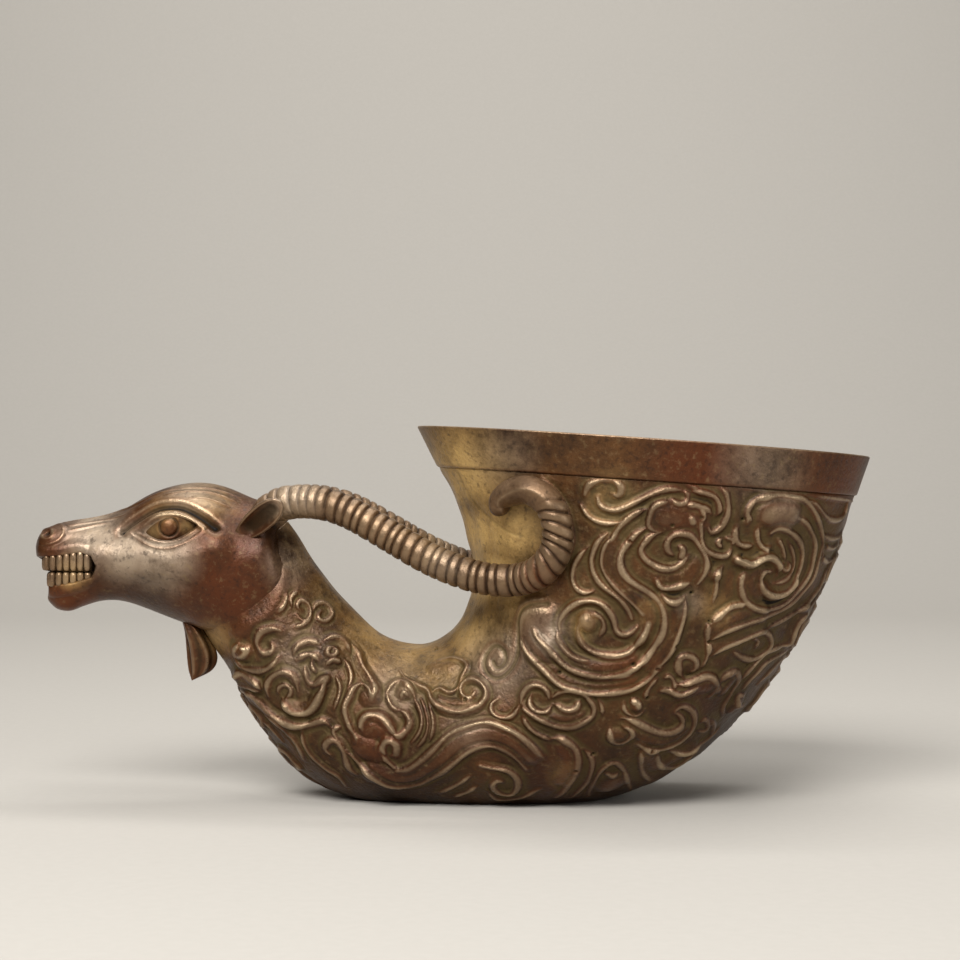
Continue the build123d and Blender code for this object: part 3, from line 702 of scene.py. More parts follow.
red_spots = [
    (-41.0, 40.0, 10, 0.9), (-71.0, 37.0, 5, 1.0), (-72.0, 46.8, 4, 0.9), (43.0, 62.5, 9, 0.9),
    (70.0, 61.0, 9, 0.9), (42.0, 53.0, 5, 0.7), (20.0, 8.0, 7, 0.6), (-12.0, 13.0, 6, 0.6),
    (32.0, 27.0, 7, 0.5), (60.0, 40.0, 7, 0.4), (8.0, 14.0, 8, 0.4), (44.0, 21.0, 6, 0.5),
    (16.0, 41.5, 4, 0.4), (34.0, 45.0, 6, 0.4), (-51.6, 50.9, 2, 1.0),
]
# Grey spots: painted sheen, a painted highlight on the cheekbone, muzzle, brow and raised parts.
painted_sheen_spots = [
    (-53.0, 45.5, 6, 1.0), (-60.0, 46.0, 5, 1.0), (-66.0, 49.5, 6, 1.0), (16.5, 33.0, 4.5, 0.6),
    (55.0, 61.5, 9, 0.35), (59.5, 54.0, 3.5, 0.4), (10.0, 64.0, 7, 0.3), (-30.0, 44.0, 5, 0.4),
    (-10.0, 22.0, 6, 0.3), (42.0, 38.0, 3, 0.4), (9.0, 27.0, 6, 0.6), (-48.0, 57.0, 5, 0.6),
    (-29.0, 56.5, 5, 0.9), (-1.0, 44.6, 5, 0.5), (3.7, 15.0, 5, 0.35), (-27.0, 27.0, 7, 0.35),
]
# Dark spots: partly painted shade under the belly, throat and jaw, on the rear cheek and under the ear, and
# partly darker patina.
shade_and_patina_spots = [
    (-41.0, 40.0, 9, 0.9), (-36.5, 47.0, 5, 0.9), (-55.0, 38.0, 7, 0.7), (-10.0, 6.0, 14, 0.8),
    (20.0, 5.0, 14, 0.8), (48.0, 18.0, 12, 0.8), (62.0, 34.0, 8, 0.6), (44.0, 62.0, 10, 0.7),
    (-40.0, 18.0, 9, 0.5), (38.0, 52.0, 6, 0.5), (-64.0, 38.0, 6, 0.5), (24.0, 26.0, 8, 0.5),
    (20.5, 30.0, 5, 0.8),
]


def paint(piece, points, wear, shares=(1, 1, 1, 1)):
    """Writes how worn each point is, and the strengths of ochre and red patina, of grey painted sheen and of
    dark patches, partly painted shade and partly darker patina, over it, with the share of each that the
    piece takes. Then points that fall together are joined, and all faces turned outwards."""
    strengths = np.zeros((len(points), 4))
    for column, spots in enumerate((ochre_spots, red_spots, painted_sheen_spots, shade_and_patina_spots)):
        for x, z, radius, strength in spots:
            apart = (points[:, 0] - x) ** 2 + (points[:, 2] - z) ** 2
            strengths[:, column] = np.maximum(strengths[:, column], strength * np.exp(-apart / radius**2))
    strengths *= shares
    piece.data.attributes.new("wear", "FLOAT", "POINT").data.foreach_set("value", wear)
    # The turned colour holds ochre and red patina, grey painted sheen, and dark patches that are partly
    # painted shade.
    piece.data.attributes.new("turned", "FLOAT_COLOR", "POINT").data.foreach_set("color", strengths.ravel())
    shell = bmesh.new()
    shell.from_mesh(piece.data)
    bmesh.ops.remove_doubles(shell, verts=shell.verts, dist=1e-7)
    bmesh.ops.recalc_face_normals(shell, faces=shell.faces)
    shell.to_mesh(piece.data)
    shell.free()


def bronze(name, body_code, dark_code, dirt_code, swell_code, grain, shine):
    """Cast bronze with a brown patina under wax. The body colour is broken by blotches of 9 mm and flecks
    of 1.2 mm, dirt sits dull in what is sunk, swellings are rubbed smooth, and crests are painted paler,
    partly as wear and partly as a painted highlight. Grey patches are painted sheen, and dark patches are
    partly painted shade. In a Map Range, 1 and 2 are the range read and 3 and 4 the range given; in a Mix, 6
    and 7 are the two colours."""
    made, tree, shader = new_material(name)
    spots = add(tree, "ShaderNodeTexCoord").outputs["Object"]
    wear = add(tree, "ShaderNodeAttribute", attribute_name="wear").outputs["Fac"]
    # The turned colour holds ochre and red patina, grey painted sheen, and dark patches that are partly
    # painted shade.
    patches = add(tree, "ShaderNodeAttribute", attribute_name="turned").outputs
    split = add(tree, "ShaderNodeSeparateColor", {"Color": patches["Color"]}).outputs
    noises = ((0.009, 8.0, 0.7), (0.0012, 4.0, 0.65), (0.0007, 4.0, 0.6), (0.004, 2.0, 0.5))
    blotch, fleck, skin, dent = (
        add(tree, "ShaderNodeTexNoise", {
            "Vector": spots, "Scale": 1 / size, "Detail": detail, "Roughness": rough}).outputs["Fac"]
        for size, detail, rough in noises)
    share = add(tree, "ShaderNodeMapRange", {"Value": blotch, 1: 0.38, 2: 0.66}).outputs[0]
    colour = add(tree, "ShaderNodeMix", {
        0: share, 6: linear(dark_code), 7: linear(body_code)}, data_type="RGBA").outputs[2]
    # Each tint is the share of a colour that is laid over those before it. First come dark patches, partly
    # painted shade and partly darker patina, then red and ochre patina, then grey patches of painted sheen,
    # their edges broken by the blotches.
    tints = []
    broken = add(tree, "ShaderNodeMapRange", {"Value": blotch, 1: 0.3, 2: 0.6, 3: 0.35, 4: 1.25}).outputs[0]
    for strength, code, most in (
        # The dark patches are partly painted shade and partly darker patina.
        (patches["Alpha"], "#221208", 0.85),
        (split["Green"], "#592a0b", 0.8),
        (split["Red"], "#b8965c", 1.0),
        # The grey patches are painted sheen, a painted highlight.
        (split["Blue"], "#a8957f", 0.9),
    ):
        patch = add(tree, "ShaderNodeMath", {0: strength, 1: broken}, operation="MULTIPLY").outputs[0]
        share = add(tree, "ShaderNodeMapRange", {"Value": patch, 1: 0.1, 2: 0.95, 4: most}).outputs[0]
        tints.append((share, code))
    # Pale and dark flecks, then rubbed swellings, dirt in what is sunk, and black casting pits.
    for value, start, end, most, code in (
        (fleck, 0.56, 0.70, 0.28, "#8a7450"),
        (fleck, 0.46, 0.32, 0.50, "#20130a"),
        (wear, 0.05, 0.35, 0.38, swell_code),
        (wear, -0.10, -0.80, 0.70, dirt_code),
        (wear, -1.40, -1.85, 0.95, "#0e0906"),
    ):
        share = add(tree, "ShaderNodeMapRange", {"Value": value, 1: start, 2: end, 4: most}).outputs[0]
        tints.append((share, code))
    # Last, crests are painted pale, partly as wear and partly as a painted highlight along them, less so in
    # the dark blotches and on the dark patches.
    crest = add(tree, "ShaderNodeMapRange", {"Value": wear, 1: 0.35, 2: 1.25}).outputs[0]
    for value, start, end, least, most in (
        (blotch, 0.36, 0.62, 0.3, 0.9),
        (patches["Alpha"], 0.1, 0.8, 1.0, 0.45),
    ):
        share = add(tree, "ShaderNodeMapRange", {
            "Value": value, 1: start, 2: end, 3: least, 4: most}).outputs[0]
        crest = add(tree, "ShaderNodeMath", {0: crest, 1: share}, operation="MULTIPLY").outputs[0]
    tints.append((crest, "#a79273"))
    for share, code in tints:
        mix = add(tree, "ShaderNodeMix", {0: share, 6: colour, 7: linear(code)}, data_type="RGBA")
        colour = mix.outputs[2]
    tree.links.new(colour, shader.inputs["Base Color"])
    # Dirt is dull, what is rubbed shines, dust is no metal, and wax lies on all but the hollows.
    dull = add(tree, "ShaderNodeMapRange", {"Value": wear, 1: -0.8, 2: 0.8, 3: 0.58, 4: shine}).outputs[0]
    speck = add(tree, "ShaderNodeMapRange", {"Value": fleck, 1: 0.3, 2: 0.7, 3: -0.07, 4: 0.10}).outputs[0]
    dull = add(tree, "ShaderNodeMath", {0: dull, 1: speck}, operation="ADD").outputs[0]
    tree.links.new(dull, shader.inputs["Roughness"])
    dusty = add(tree, "ShaderNodeMapRange", {
        "Value": split["Red"], 1: 0.1, 2: 0.9, 3: 0.6, 4: 0.15}).outputs[0]
    tree.links.new(dusty, shader.inputs["Metallic"])
    wax = add(tree, "ShaderNodeMapRange", {"Value": wear, 1: -1.0, 2: 0.0, 4: 0.22}).outputs[0]
    tree.links.new(wax, shader.inputs["Coat Weight"])
    # Shallow dents of 4 mm from handling, and a cast skin of 0.7 mm, coarser than real so that it shows.
    bump = add(tree, "ShaderNodeBump", {
        "Height": dent, "Strength": 0.25, "Distance": 0.0006}).outputs["Normal"]
    bump = add(tree, "ShaderNodeBump", {
        "Height": skin, "Strength": grain, "Distance": 0.0002, "Normal": bump}).outputs["Normal"]
    tree.links.new(bump, shader.inputs["Normal"])
    tree.links.new(bump, shader.inputs["Coat Normal"])
    shader.inputs["Coat Roughness"].default_value = 0.38
    shader.inputs["Specular IOR Level"].default_value = 0.25
    return made


# Cast bronze, chased and waxed: brown, blotched, dark in the hollows and bright on the cords.
cup_bronze = bronze("cast_bronze_chased_waxed", "#5e3c1b", "#36210c", "#54462a", "#5a3013", 0.9, 0.34)
cup = mesh_object("cup_casting", points, faces, cup_bronze)
paint(cup, points, cup_wear, cup_shares)
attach(cup, "root")
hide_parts("cup_body")


# The rim band: a plain bronze hoop let into a rebate round the lip and brazed there. It stands 0.4 mm
# proud, and its edges are rounded by handling.
band_proud, band_rounding, band_inside = 0.40, 0.35, -0.7
# The band's outline, as depths under the lip and growths of the wall, from its lower edge inside to its
# upper.
corner = [(band_rounding * (1 - math.sin(a)), band_proud - band_rounding * (1 - math.cos(a)))
          for a in np.linspace(0, math.pi / 2 - 0.3, 5)]
band_profile = [(band_height - 0.02, band_inside), (band_height, band_proud - band_rounding)]
band_profile += [(band_height - depth, growth) for depth, growth in reversed(corner)]
band_profile += [(depth, band_proud) for depth in np.linspace(band_height - 0.7, 0.7, 26)]
band_profile += corner + [(0.01, band_proud - band_rounding), (0.01, band_inside)]
band_turns = np.linspace(0, 2 * math.pi, 420, endpoint=False)
band_rings = np.array([
    wall_points(step_below_lip(band_turns, depth), band_turns, growth) for depth, growth in band_profile])
rows, columns = band_rings.shape[:2]
points = band_rings.reshape(-1, 3)
quads = np.array(strip_faces(rows + 1, columns, closed=True)) % len(points)
worn = np.zeros((rows, columns))
# The upper edge is painted pale, partly as wear and partly as a painted highlight along it.
worn[-6:-1] = 0.8    # the upper edge
worn[2:7] = 0.25     # the lower edge
worn[:2] = -0.5      # the joint with the cup
band = mesh_object("rim_hoop", points, quads.tolist(), cup_bronze)
paint(band, points, worn.ravel())
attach(band, "root")
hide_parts("rim_band")


# The head: a goat's head in solid bronze, cast apart and socketed over the neck. The mouth is open and cut
# back behind the lips, and brows, lids, nostrils and the fine hair of the brow are chased into it.
head_sections = [
    # top, bottom, half width, and the fullness of the crown and of the jaw
    (-78.0, 47.2, -76.7, 40.4, 1.4, 0.5, 0.6), (-77.4, 49.0, -75.4, 37.7, 3.5, 1.5, 1.7),
    (-75.9, 50.5, -73.6, 35.8, 4.6, 2.6, 2.6), (-72.5, 51.5, -71.0, 35.3, 5.4, 2.9, 3.2),
    (-67.9, 52.2, -66.9, 36.5, 6.0, 2.4, 3.3), (-62.2, 53.7, -61.9, 36.8, 7.0, 2.6, 2.6),
    (-57.5, 56.3, -57.0, 35.3, 8.5, 4.0, 2.2), (-52.5, 58.3, -51.3, 33.1, 9.9, 6.2, 3.7),
    (-46.6, 59.0, -45.7, 31.2, 10.8, 5.8, 5.8), (-41.2, 57.8, -40.6, 30.3, 11.3, 4.2, 8.0),
    (-36.7, 55.9, -35.5, 32.5, 11.2, 2.6, 8.8), (-32.9, 54.7, -31.4, 37.2, 10.6, 1.4, 8.0),
    (-30.4, 52.4, -29.6, 42.6, 9.2, 1.0, 6.2),
]
round_reach = 0.5523   # how far a cubic's handle reaches for a round corner, as a share of its radius
mouth_outline = [
    (-84.0, 45.0), (-77.0, 45.2), (-72.5, 45.5), (-68.6, 46.1), (-66.3, 45.5), (-65.2, 43.6), (-66.3, 41.5),
    (-69.6, 40.5), (-73.5, 39.9), (-77.0, 39.4), (-84.0, 39.0),
]
mouth_back = -66.0
eye_front, eye_top, eye_rear, eye_bottom = (-56.0, 49.9), (-51.4, 52.6), (-46.3, 51.1), (-51.4, 48.3)
pupil, eye_dome = (-51.6, 50.9), 9.5


def head_points(steps, shares):
    """Points of the left half of the head: steps along it in sections, shares from the crown (0) down to the
    jaw (1)."""
    row = smooth_rows(head_sections, steps)[:, None]
    top, bottom, width, crown, jaw = row[..., 0:2], row[..., 2:4], row[..., 4], row[..., 5], row[..., 6]
    middle, up = (top + bottom) / 2, (top - bottom) / 2
    upper = shares < 0.5
    t = np.where(upper, shares * 2, shares * 2 - 1)[None]
    a, b, c, d = (1 - t) ** 3, 3 * t * (1 - t) ** 2, 3 * t**2 * (1 - t), t**3
    across = np.where(upper, b * crown + (c + d) * width, (a + b) * width + c * jaw)
    raised = np.where(upper, a + b + c * round_reach, -(b * round_reach + c + d))
    side = middle + raised[..., None] * up
    return np.stack([side[..., 0], -across, side[..., 1]], axis=-1)


def inside_by(points, outline):
    """How far points lie inside a closed outline of the side view, in mm; below 0 outside it."""
    outline = np.array(outline)
    spots = points[..., [0, 2]].reshape(-1, 2)
    gap, odd = np.full(len(spots), 1e9), np.zeros(len(spots), bool)
    for start, end in zip(outline, np.roll(outline, -1, axis=0)):
        run = end - start
        share = np.clip((spots - start) @ run / (run @ run), 0, 1)
        gap = np.minimum(gap, np.linalg.norm(spots - start - share[:, None] * run, axis=1))
        spans = (start[1] > spots[:, 1]) != (end[1] > spots[:, 1])
        height = np.where(run[1] == 0, 1e-9, run[1])
        odd ^= spans & (spots[:, 0] < start[0] + run[0] * (spots[:, 1] - start[1]) / height)
    return np.where(odd, gap, -gap).reshape(points.shape[:-1])


def arch(start, peak, end, count):
    """Points of the arc of a parabola through three points."""
    t = np.linspace(0, 1, count)[:, None]
    start, peak, end = np.array(start), np.array(peak), np.array(end)
    return (1 - t) ** 2 * start + 2 * t * (1 - t) * (2 * peak - (start + end) / 2) + t**2 * end


def soft(value, start, end):
    """Smooth step from 0 at the start to 1 at the end."""
    share = np.clip((value - start) / (end - start), 0, 1)
    return share * share * (3 - 2 * share)


head_rows, head_columns = 270, 170
head_steps = np.linspace(0, len(head_sections) - 1, head_rows)[:, None]
crown_to_jaw = np.linspace(0, 1, head_columns)
head_base = head_points(head_steps[:, 0], crown_to_jaw)
head_steps = spread_evenly(head_base[:, head_columns // 2], head_steps, head_rows)[:, 0]
head_base = head_points(head_steps, crown_to_jaw)
normal = outward(head_base)

# The face is drawn like the ornament of the cup: thin lines for lids, nostril, muzzle and brow hair, a groove
# over the eye, and swellings for brow, lids, lips, cheek and jaw.
face_lines = [
    [(136, 532), (148, 524), (159, 517), (170, 515), (181, 516), (191, 520), (200, 526)],
    [(137, 533), (147, 538), (158, 541), (170, 541), (181, 538), (191, 533), (200, 527)],
    [(132, 535), (143, 542), (155, 547), (168, 548), (180, 545), (192, 539), (204, 530)],
    [(57, 522), (63, 527), (64, 534), (60, 540), (53, 544), (44, 545)],
    [(48, 528), (52, 530), (54, 534), (52, 538), (48, 540), (44, 538), (42, 534), (44, 530), (48, 528)],
    [(60, 521), (80, 519), (100, 516), (120, 511), (138, 504), (153, 496)],
    [(64, 526), (80, 524), (100, 521), (115, 518), (124, 516)],
    [(68, 531), (82, 528), (96, 525), (108, 523)],
    [(150, 497), (170, 491), (195, 488), (220, 491), (240, 498)],
    [(165, 496), (190, 492), (215, 494), (236, 502)],
    [(190, 499), (210, 500), (228, 507)],
]
chased = [
    (1.5, 0.95, [(122, 531), (132, 523), (144, 515), (156, 509), (168, 507), (181, 508), (193, 513),
                 (205, 520), (215, 528)]),
]
swellings = [
    (2.2, 0.28, [(131, 515), (144, 507), (156, 501), (168, 498), (182, 498), (196, 503), (208, 511)]),
    (0.9, 0.30, [(128, 533), (146, 521), (158, 514), (170, 511), (182, 512), (192, 517), (204, 527)]),
    (1.1, 0.35, [(34, 549), (48, 551), (62, 549), (75, 546), (86, 548), (94, 553)]),
    (1.1, 0.40, [(46, 594), (60, 592), (75, 587), (88, 581), (98, 573)]),
    (0.9, 0.30, [(93, 552), (99, 558), (101, 566), (97, 574)]),
    (1.6, 0.40, [(58, 534), (50, 540), (42, 541)]),
    (2.6, 0.45, [(284, 556), (280, 578), (272, 596), (258, 609), (240, 619), (222, 625), (204, 624)]),
    (3.0, 0.75, [(100, 558), (118, 560), (140, 562), (165, 564), (190, 560), (212, 548)]),
    (2.2, 0.50, [(50, 600), (56, 604), (65, 606)]),
]
nostril = (48, 534)
groups = ((face_lines, 0.6, 0.14),)   # mm wide, mm high
body, lines = (h.reshape(head_rows, head_columns) for h in carve(
    head_base.reshape(-1, 3), Canvas(head_base, normal), groups, swellings, chased, [nostril],
    hole_size=(1.1, 0.5), body_size=(1.6, 1.25), body_edge=2.0))
off_nose = soft(head_base[..., 0], -78.0, -76.2)
head_left = head_base + normal * ((body + lines) * off_nose)[..., None]
wear = rubbed(0.35 * body + lines, 5, 0.2)

# The mouth is cut in behind the lips, and the tip of the lower lip is drawn back.
cut_back = soft(inside_by(head_base, mouth_outline), -0.1, 0.9)
head_left[..., 1] *= 1 - 0.48 * cut_back
head_left[..., 0] += 0.24 * np.maximum(mouth_back - head_left[..., 0], 0) * cut_back
# The cut-back mouth is painted dark, as painted shade inside the mouth.
wear = wear - cut_back
lip_tip = soft(-head_left[..., 0], 74.6, 76.2) * soft(head_left[..., 2], 36.5, 39.0)
head_left[..., 0] += 0.9 * lip_tip * (head_left[..., 2] < 41.5)

# The sockets lie 0.9 mm behind the domes of the eyes.
eye_outline = np.concatenate([
    arch(eye_front, eye_top, eye_rear, 24)[:-1], arch(eye_rear, eye_bottom, eye_front, 24)[:-1]])
socket = soft(inside_by(head_base, eye_outline), -0.1, 0.45)
from_pupil = (head_base[..., 0] - pupil[0]) ** 2 + (head_base[..., 2] - pupil[1]) ** 2
behind_eye = -np.sqrt(np.maximum(eye_dome**2 - from_pupil, 1)) + 0.9
head_left[..., 1] += socket * np.maximum(behind_eye - head_left[..., 1], 0)
wear = np.where(socket > 0.2, -0.7, wear)

# The back of the head is drawn down on to the neck, so that the joint hardly shows.
neck_spots = base[:170:2, ::2].reshape(-1, 3)
neck = kdtree.KDTree(len(neck_spots))
for i, spot in enumerate(neck_spots):
    neck.insert(spot, i)
neck.balance()
settled = soft(head_steps, 10.2, 12.0)
for i in np.nonzero(settled > 0)[0]:
    for j in range(head_columns):
        spot = np.array(neck.find(head_left[i, j])[0])
        head_left[i, j] += settled[i] * (spot - head_left[i, j])
    head_left[i] -= 0.2 * settled[i] * normal[i]
head_left[:, [0, -1], 1] = 0
points, faces = closed_tube(both_sides(head_left))
# Cast bronze, rubbed: redder and smoother than the cup, with a soft shine on what the hand meets.
head_bronze = bronze("cast_bronze_rubbed", "#60391c", "#3e240f", "#2a2010", "#60391c", 0.4, 0.29)
head = mesh_object("goat_head", points, faces, head_bronze)
paint(head, points, np.append(both_sides(wear), [0, 0]))
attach(head, "root")
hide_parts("head")


# The eyes: two almond domes of bronze, each cast apart and let into a socket between the lids, with a ringed
# bead for the pupil.
eye_rows, eye_columns, eye_back = 72, 48, -7.4
bead_radius, bead_height = 1.55, 0.6
upper, lower = arch(eye_front, eye_top, eye_rear, eye_rows), arch(eye_front, eye_bottom, eye_rear, eye_rows)
flat = lower[:, None] + (upper - lower)[:, None] * np.linspace(0, 1, eye_columns)[None, :, None]
radius = np.linalg.norm(flat - np.array(pupil), axis=2)
bead = bead_height * np.sqrt(np.clip(1 - (radius / bead_radius) ** 2, 0, 1))
ring = 0.10 * np.exp(-(((radius - 2.15) / 0.25) ** 2)) - 0.15 * np.exp(-(((radius - 1.7) / 0.25) ** 2))
front = np.stack([flat[..., 0], -np.sqrt(eye_dome**2 - radius**2) - bead - ring, flat[..., 1]], axis=-1)
back = front.copy()
back[..., 1] = eye_back
bright = 0.6 * np.clip(bead / 0.4, 0, 1) + 3 * np.clip(ring, -0.15, 0.1) - 0.4
quads = strip_faces(eye_rows, eye_columns)
order = np.arange(eye_rows * eye_columns).reshape(eye_rows, eye_columns)
edge = np.concatenate([order[:, 0], order[-1, 1:], order[-2::-1, -1], order[0, -2:0:-1]]).tolist()
walls = [(a, b, b + order.size, a + order.size) for a, b in zip(edge, edge[1:] + edge[:1])]
backs = [[order.size + v for v in reversed(q)] for q in quads]
for side, name in ((1, "left_eye"), (-1, "right_eye")):
    points = np.concatenate([front.reshape(-1, 3), back.reshape(-1, 3)]) * (1, side, 1)
    eye = mesh_object("almond_" + name, points, quads + walls + backs, head_bronze)
    paint(eye, points, np.append(bright, np.zeros(bright.size)), shares=(0.9, 1, 0, 1))
    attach(eye, "root")
    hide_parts(name)


# The ears: leaf-shaped bronze castings pegged into the head behind the horns, hollowed on the face that looks
# forward and down.
ear_rows, ear_columns = 70, 64
ear_root, ear_tip = np.array([-38.6, -9.0, 49.2]), np.array([-30.6, -13.6, 55.6])
ear_facing = np.array([-0.25, -0.9, -0.45])
ear_shares = [0, 0.16, 0.38, 0.62, 0.84, 0.95, 1.0]
ear_halves = [1.3, 1.9, 2.4, 2.45, 2.0, 1.25, 0.05]   # half widths at these shares of its length, in mm
ear_length = np.linalg.norm(ear_tip - ear_root)
ear_axis = (ear_tip - ear_root) / ear_length
ear_face = ear_facing - (ear_facing @ ear_axis) * ear_axis
ear_face /= np.linalg.norm(ear_face)
ear_across = np.cross(ear_axis, ear_face)
share = np.linspace(0, 1, ear_rows)[:, None]
ear_steps = np.interp(share[:, 0], ear_shares, np.arange(len(ear_shares)))
spread = smooth_rows(list(zip(ear_shares, ear_halves)), ear_steps)[:, 1:2]
turn = np.linspace(0, 2 * math.pi, ear_columns, endpoint=False)[None]
over, lifted = np.cos(turn), np.abs(np.sin(turn))
hollow = 1.15 * np.clip(1 - np.abs(over / 0.82) ** 2.2, 0, 1)
hollow = hollow * soft(share, 0.0, 0.25) * (1 - soft(share, 0.75, 1.0))
lift = np.where(np.sin(turn) > 0, 0.55 * lifted**0.6 - hollow, -1.15 * lifted**0.7)
lift = lift * (0.35 + 0.65 * np.clip(spread / 2.0, 0, 1))
grid = (ear_root + (share * ear_length)[..., None] * ear_axis + (spread * over)[..., None] * ear_across
        + lift[..., None] * ear_face)
rimmed = np.where(np.sin(turn) > 0, 0.7 - 1.6 * hollow, 0)
for side, name in ((1, "left_ear"), (-1, "right_ear")):
    points, faces = closed_tube(grid * (1, side, 1))
    ear = mesh_object("leaf_" + name, points, faces, head_bronze)
    paint(ear, points, np.append(rimmed, [0, 0]))
    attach(ear, "root")
    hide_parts(name)


# The teeth: two horseshoe rows of small rounded blocks, each row cast in one with its gum in bronze and set
# behind the lips.
bite_line, bite_gap, tooth_pitch = 42.5, 0.12, 1.3
tooth_half, tooth_depth = 0.62, 0.75
tooth_rows, tooth_columns, gum_rows = 13, 20, 80
upper_edge = np.array(mouth_outline[1:6])
lower_edge = np.array(mouth_outline[5:10])[::-1]


def muzzle_half(x, z):
    """Half width of the head at a place of the side view."""
    apart = (head_base[..., 0] - x) ** 2 + (head_base[..., 2] - z) ** 2
    return -head_base[..., 1].ravel()[apart.argmin()]


def squarer(wave, power):
    """A wave with fuller shoulders, its sign kept."""
    return np.sign(wave) * np.abs(wave) ** power


def tooth_row(level, front_x, top_of, bottom_of):
    """Points and faces of one row of teeth, each a rounded block turned along the row, and of the gum behind,
    whose points come last."""
    line = [(x, -(muzzle_half(x, level) - 0.6)) for x in np.linspace(-66.6, front_x + 1.2, 22)]
    line += [(front_x + 0.15, -1.6), (front_x, 0.0)]
    line += [(x, -y) for x, y in reversed(line[:-1])]
    line = smooth_rows(line, np.linspace(0, len(line) - 1, 600))
    run = lengths(line)
    count = int(run[-1] / tooth_pitch)
    across = np.linspace(-math.pi, math.pi, tooth_columns, endpoint=False)
    up = np.linspace(-math.pi / 2, math.pi / 2, tooth_rows)[:, None]
    wide = np.cos(up) ** 0.55
    a = tooth_half * wide * squarer(np.cos(across), 0.75)
    b = tooth_depth * wide * squarer(np.sin(across), 0.75)
    points, faces = [], []
    for number in range(count):
        places = (number + 0.5) * run[-1] / count + np.array([0, 0.05])
        (x, ahead_x), (y, ahead_y) = (np.interp(places, run, line[:, k]) for k in (0, 1))
        ahead = np.array([ahead_x - x, ahead_y - y])
        ahead /= np.linalg.norm(ahead)
        top, bottom = top_of(x), bottom_of(x)
        c = (top + bottom) / 2 + (top - bottom) / 2 * squarer(np.sin(up), 0.6) + 0 * across
        block = np.stack([x + a * ahead[0] - b * ahead[1], y + a * ahead[1] + b * ahead[0], c], axis=-1)
        faces += (np.array(strip_faces(tooth_rows, tooth_columns, closed=True)) + number * c.size).tolist()
        points += block.reshape(-1, 3).tolist()
    start, gum_end = len(points), (gum_rows - 1) * 4
    for x, y in spread_evenly(line, line, gum_rows):
        inner = mouth_back + (x - mouth_back) * 0.8, y * 0.55
        outer = mouth_back + (x - mouth_back) * 0.965, y * 0.92
        top, bottom = max(top_of(x), bite_line), min(bottom_of(x), bite_line)
        points += [(*outer, top), (*outer, bottom), (*inner, bottom), (*inner, top)]
    gum = strip_faces(gum_rows, 4, closed=True) + [[3, 2, 1, 0], [gum_end + v for v in range(4)]]
    faces += [[start + v for v in face] for face in gum]
    return np.array(points), faces


for name, level, front_x, top_of, bottom_of in (
    ("upper_teeth", 43.9, -75.9, lambda x: np.interp(x, upper_edge[:, 0], upper_edge[:, 1]) + 0.25,
     lambda x: bite_line + bite_gap),
    ("lower_teeth", 40.9, -75.0, lambda x: bite_line - bite_gap,
     lambda x: np.interp(x, lower_edge[:, 0], lower_edge[:, 1]) - 0.25),
):
    points, faces = tooth_row(level, front_x, top_of, bottom_of)
    teeth = mesh_object("cast_" + name, points, faces, head_bronze)
    wear = np.full(len(points), 0.8)
    # The gums are painted dark, as painted shade behind the teeth.
    wear[-4 * gum_rows:] = -1.0
    paint(teeth, points, wear, shares=(0.8, 0, 1, 0))
    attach(teeth, "root")
    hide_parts(name)


# The beard: a short bronze tuft, cast apart and brazed under the throat. Its strands are run together by the
# casting.
beard_sections = [
    # front edge, back edge, half width
    (-51.4, 34.8, -49.2, 34.6, 1.2), (-50.0, 30.6, -45.2, 29.6, 2.4), (-49.6, 27.2, -44.0, 26.2, 2.1),
    (-49.3, 24.2, -45.0, 23.8, 1.5), (-48.8, 21.8, -47.8, 22.2, 0.5),
]
beard_rows, beard_columns, strands, strand_height = 110, 96, 6, 0.11
share = np.linspace(0, 1, beard_rows)[:, None]
turn = np.linspace(0, 2 * math.pi, beard_columns, endpoint=False)[None]
row = smooth_rows(beard_sections, share[:, 0] * (len(beard_sections) - 1))[:, None]
middle, reach = (row[..., 0:2] + row[..., 2:4]) / 2, (row[..., 0:2] - row[..., 2:4]) / 2
strand = np.sin(strands * turn + 2.2 * share) * soft(share, 0.0, 0.3) * (1 - soft(share, 0.8, 1.0))
swell = 0.94 + strand_height * strand
side_view = middle + (np.cos(turn) * swell)[..., None] * reach
grid = np.stack([side_view[..., 0], np.sin(turn) * swell * row[..., 4], side_view[..., 1]], axis=-1)
points, faces = closed_tube(grid)
beard = mesh_object("chin_beard", points, faces, head_bronze)
paint(beard, points, np.append(0.7 * strand, [0, 0]))
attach(beard, "root")
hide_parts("beard")


# The horns: two long ribbed bronze horns, pegged into the brow, that sweep back over the saddle and are
# brazed to the cup wall where they curl. Each ends in a smooth fat hook.
horn_span = [
    (-36.6, 52.8), (-30.6, 55.2), (-25.8, 55.5), (-20.2, 54.3), (-14.5, 51.5), (-9.0, 48.3), (-3.5, 45.3),
    (1.9, 43.1), (7.2, 41.8),
]
horn_curl = [
    (12.5, 41.9), (16.5, 43.9), (18.8, 47.6), (18.9, 51.6), (17.5, 55.2), (14.4, 57.6), (11.1, 57.3),
    (9.0, 55.2), (9.6, 53.2),
]
horn_shares = [0, 0.03, 0.07, 0.25, 0.72, 0.84, 0.93, 1.0]
horn_radii = [1.2, 2.6, 3.2, 3.0, 2.95, 2.65, 2.45, 1.8]   # at these shares of its length, in mm
horn_root_y, horn_radius, curl_seat = -5.4, 2.95, 0.75
horn_rows, horn_columns = 760, 48
rib_count, rib_depth, rib_first, rib_last = 38, 0.5, 0.035, 0.84
hook_edge = 1.45   # 1 is a square on its corner, 2 a circle


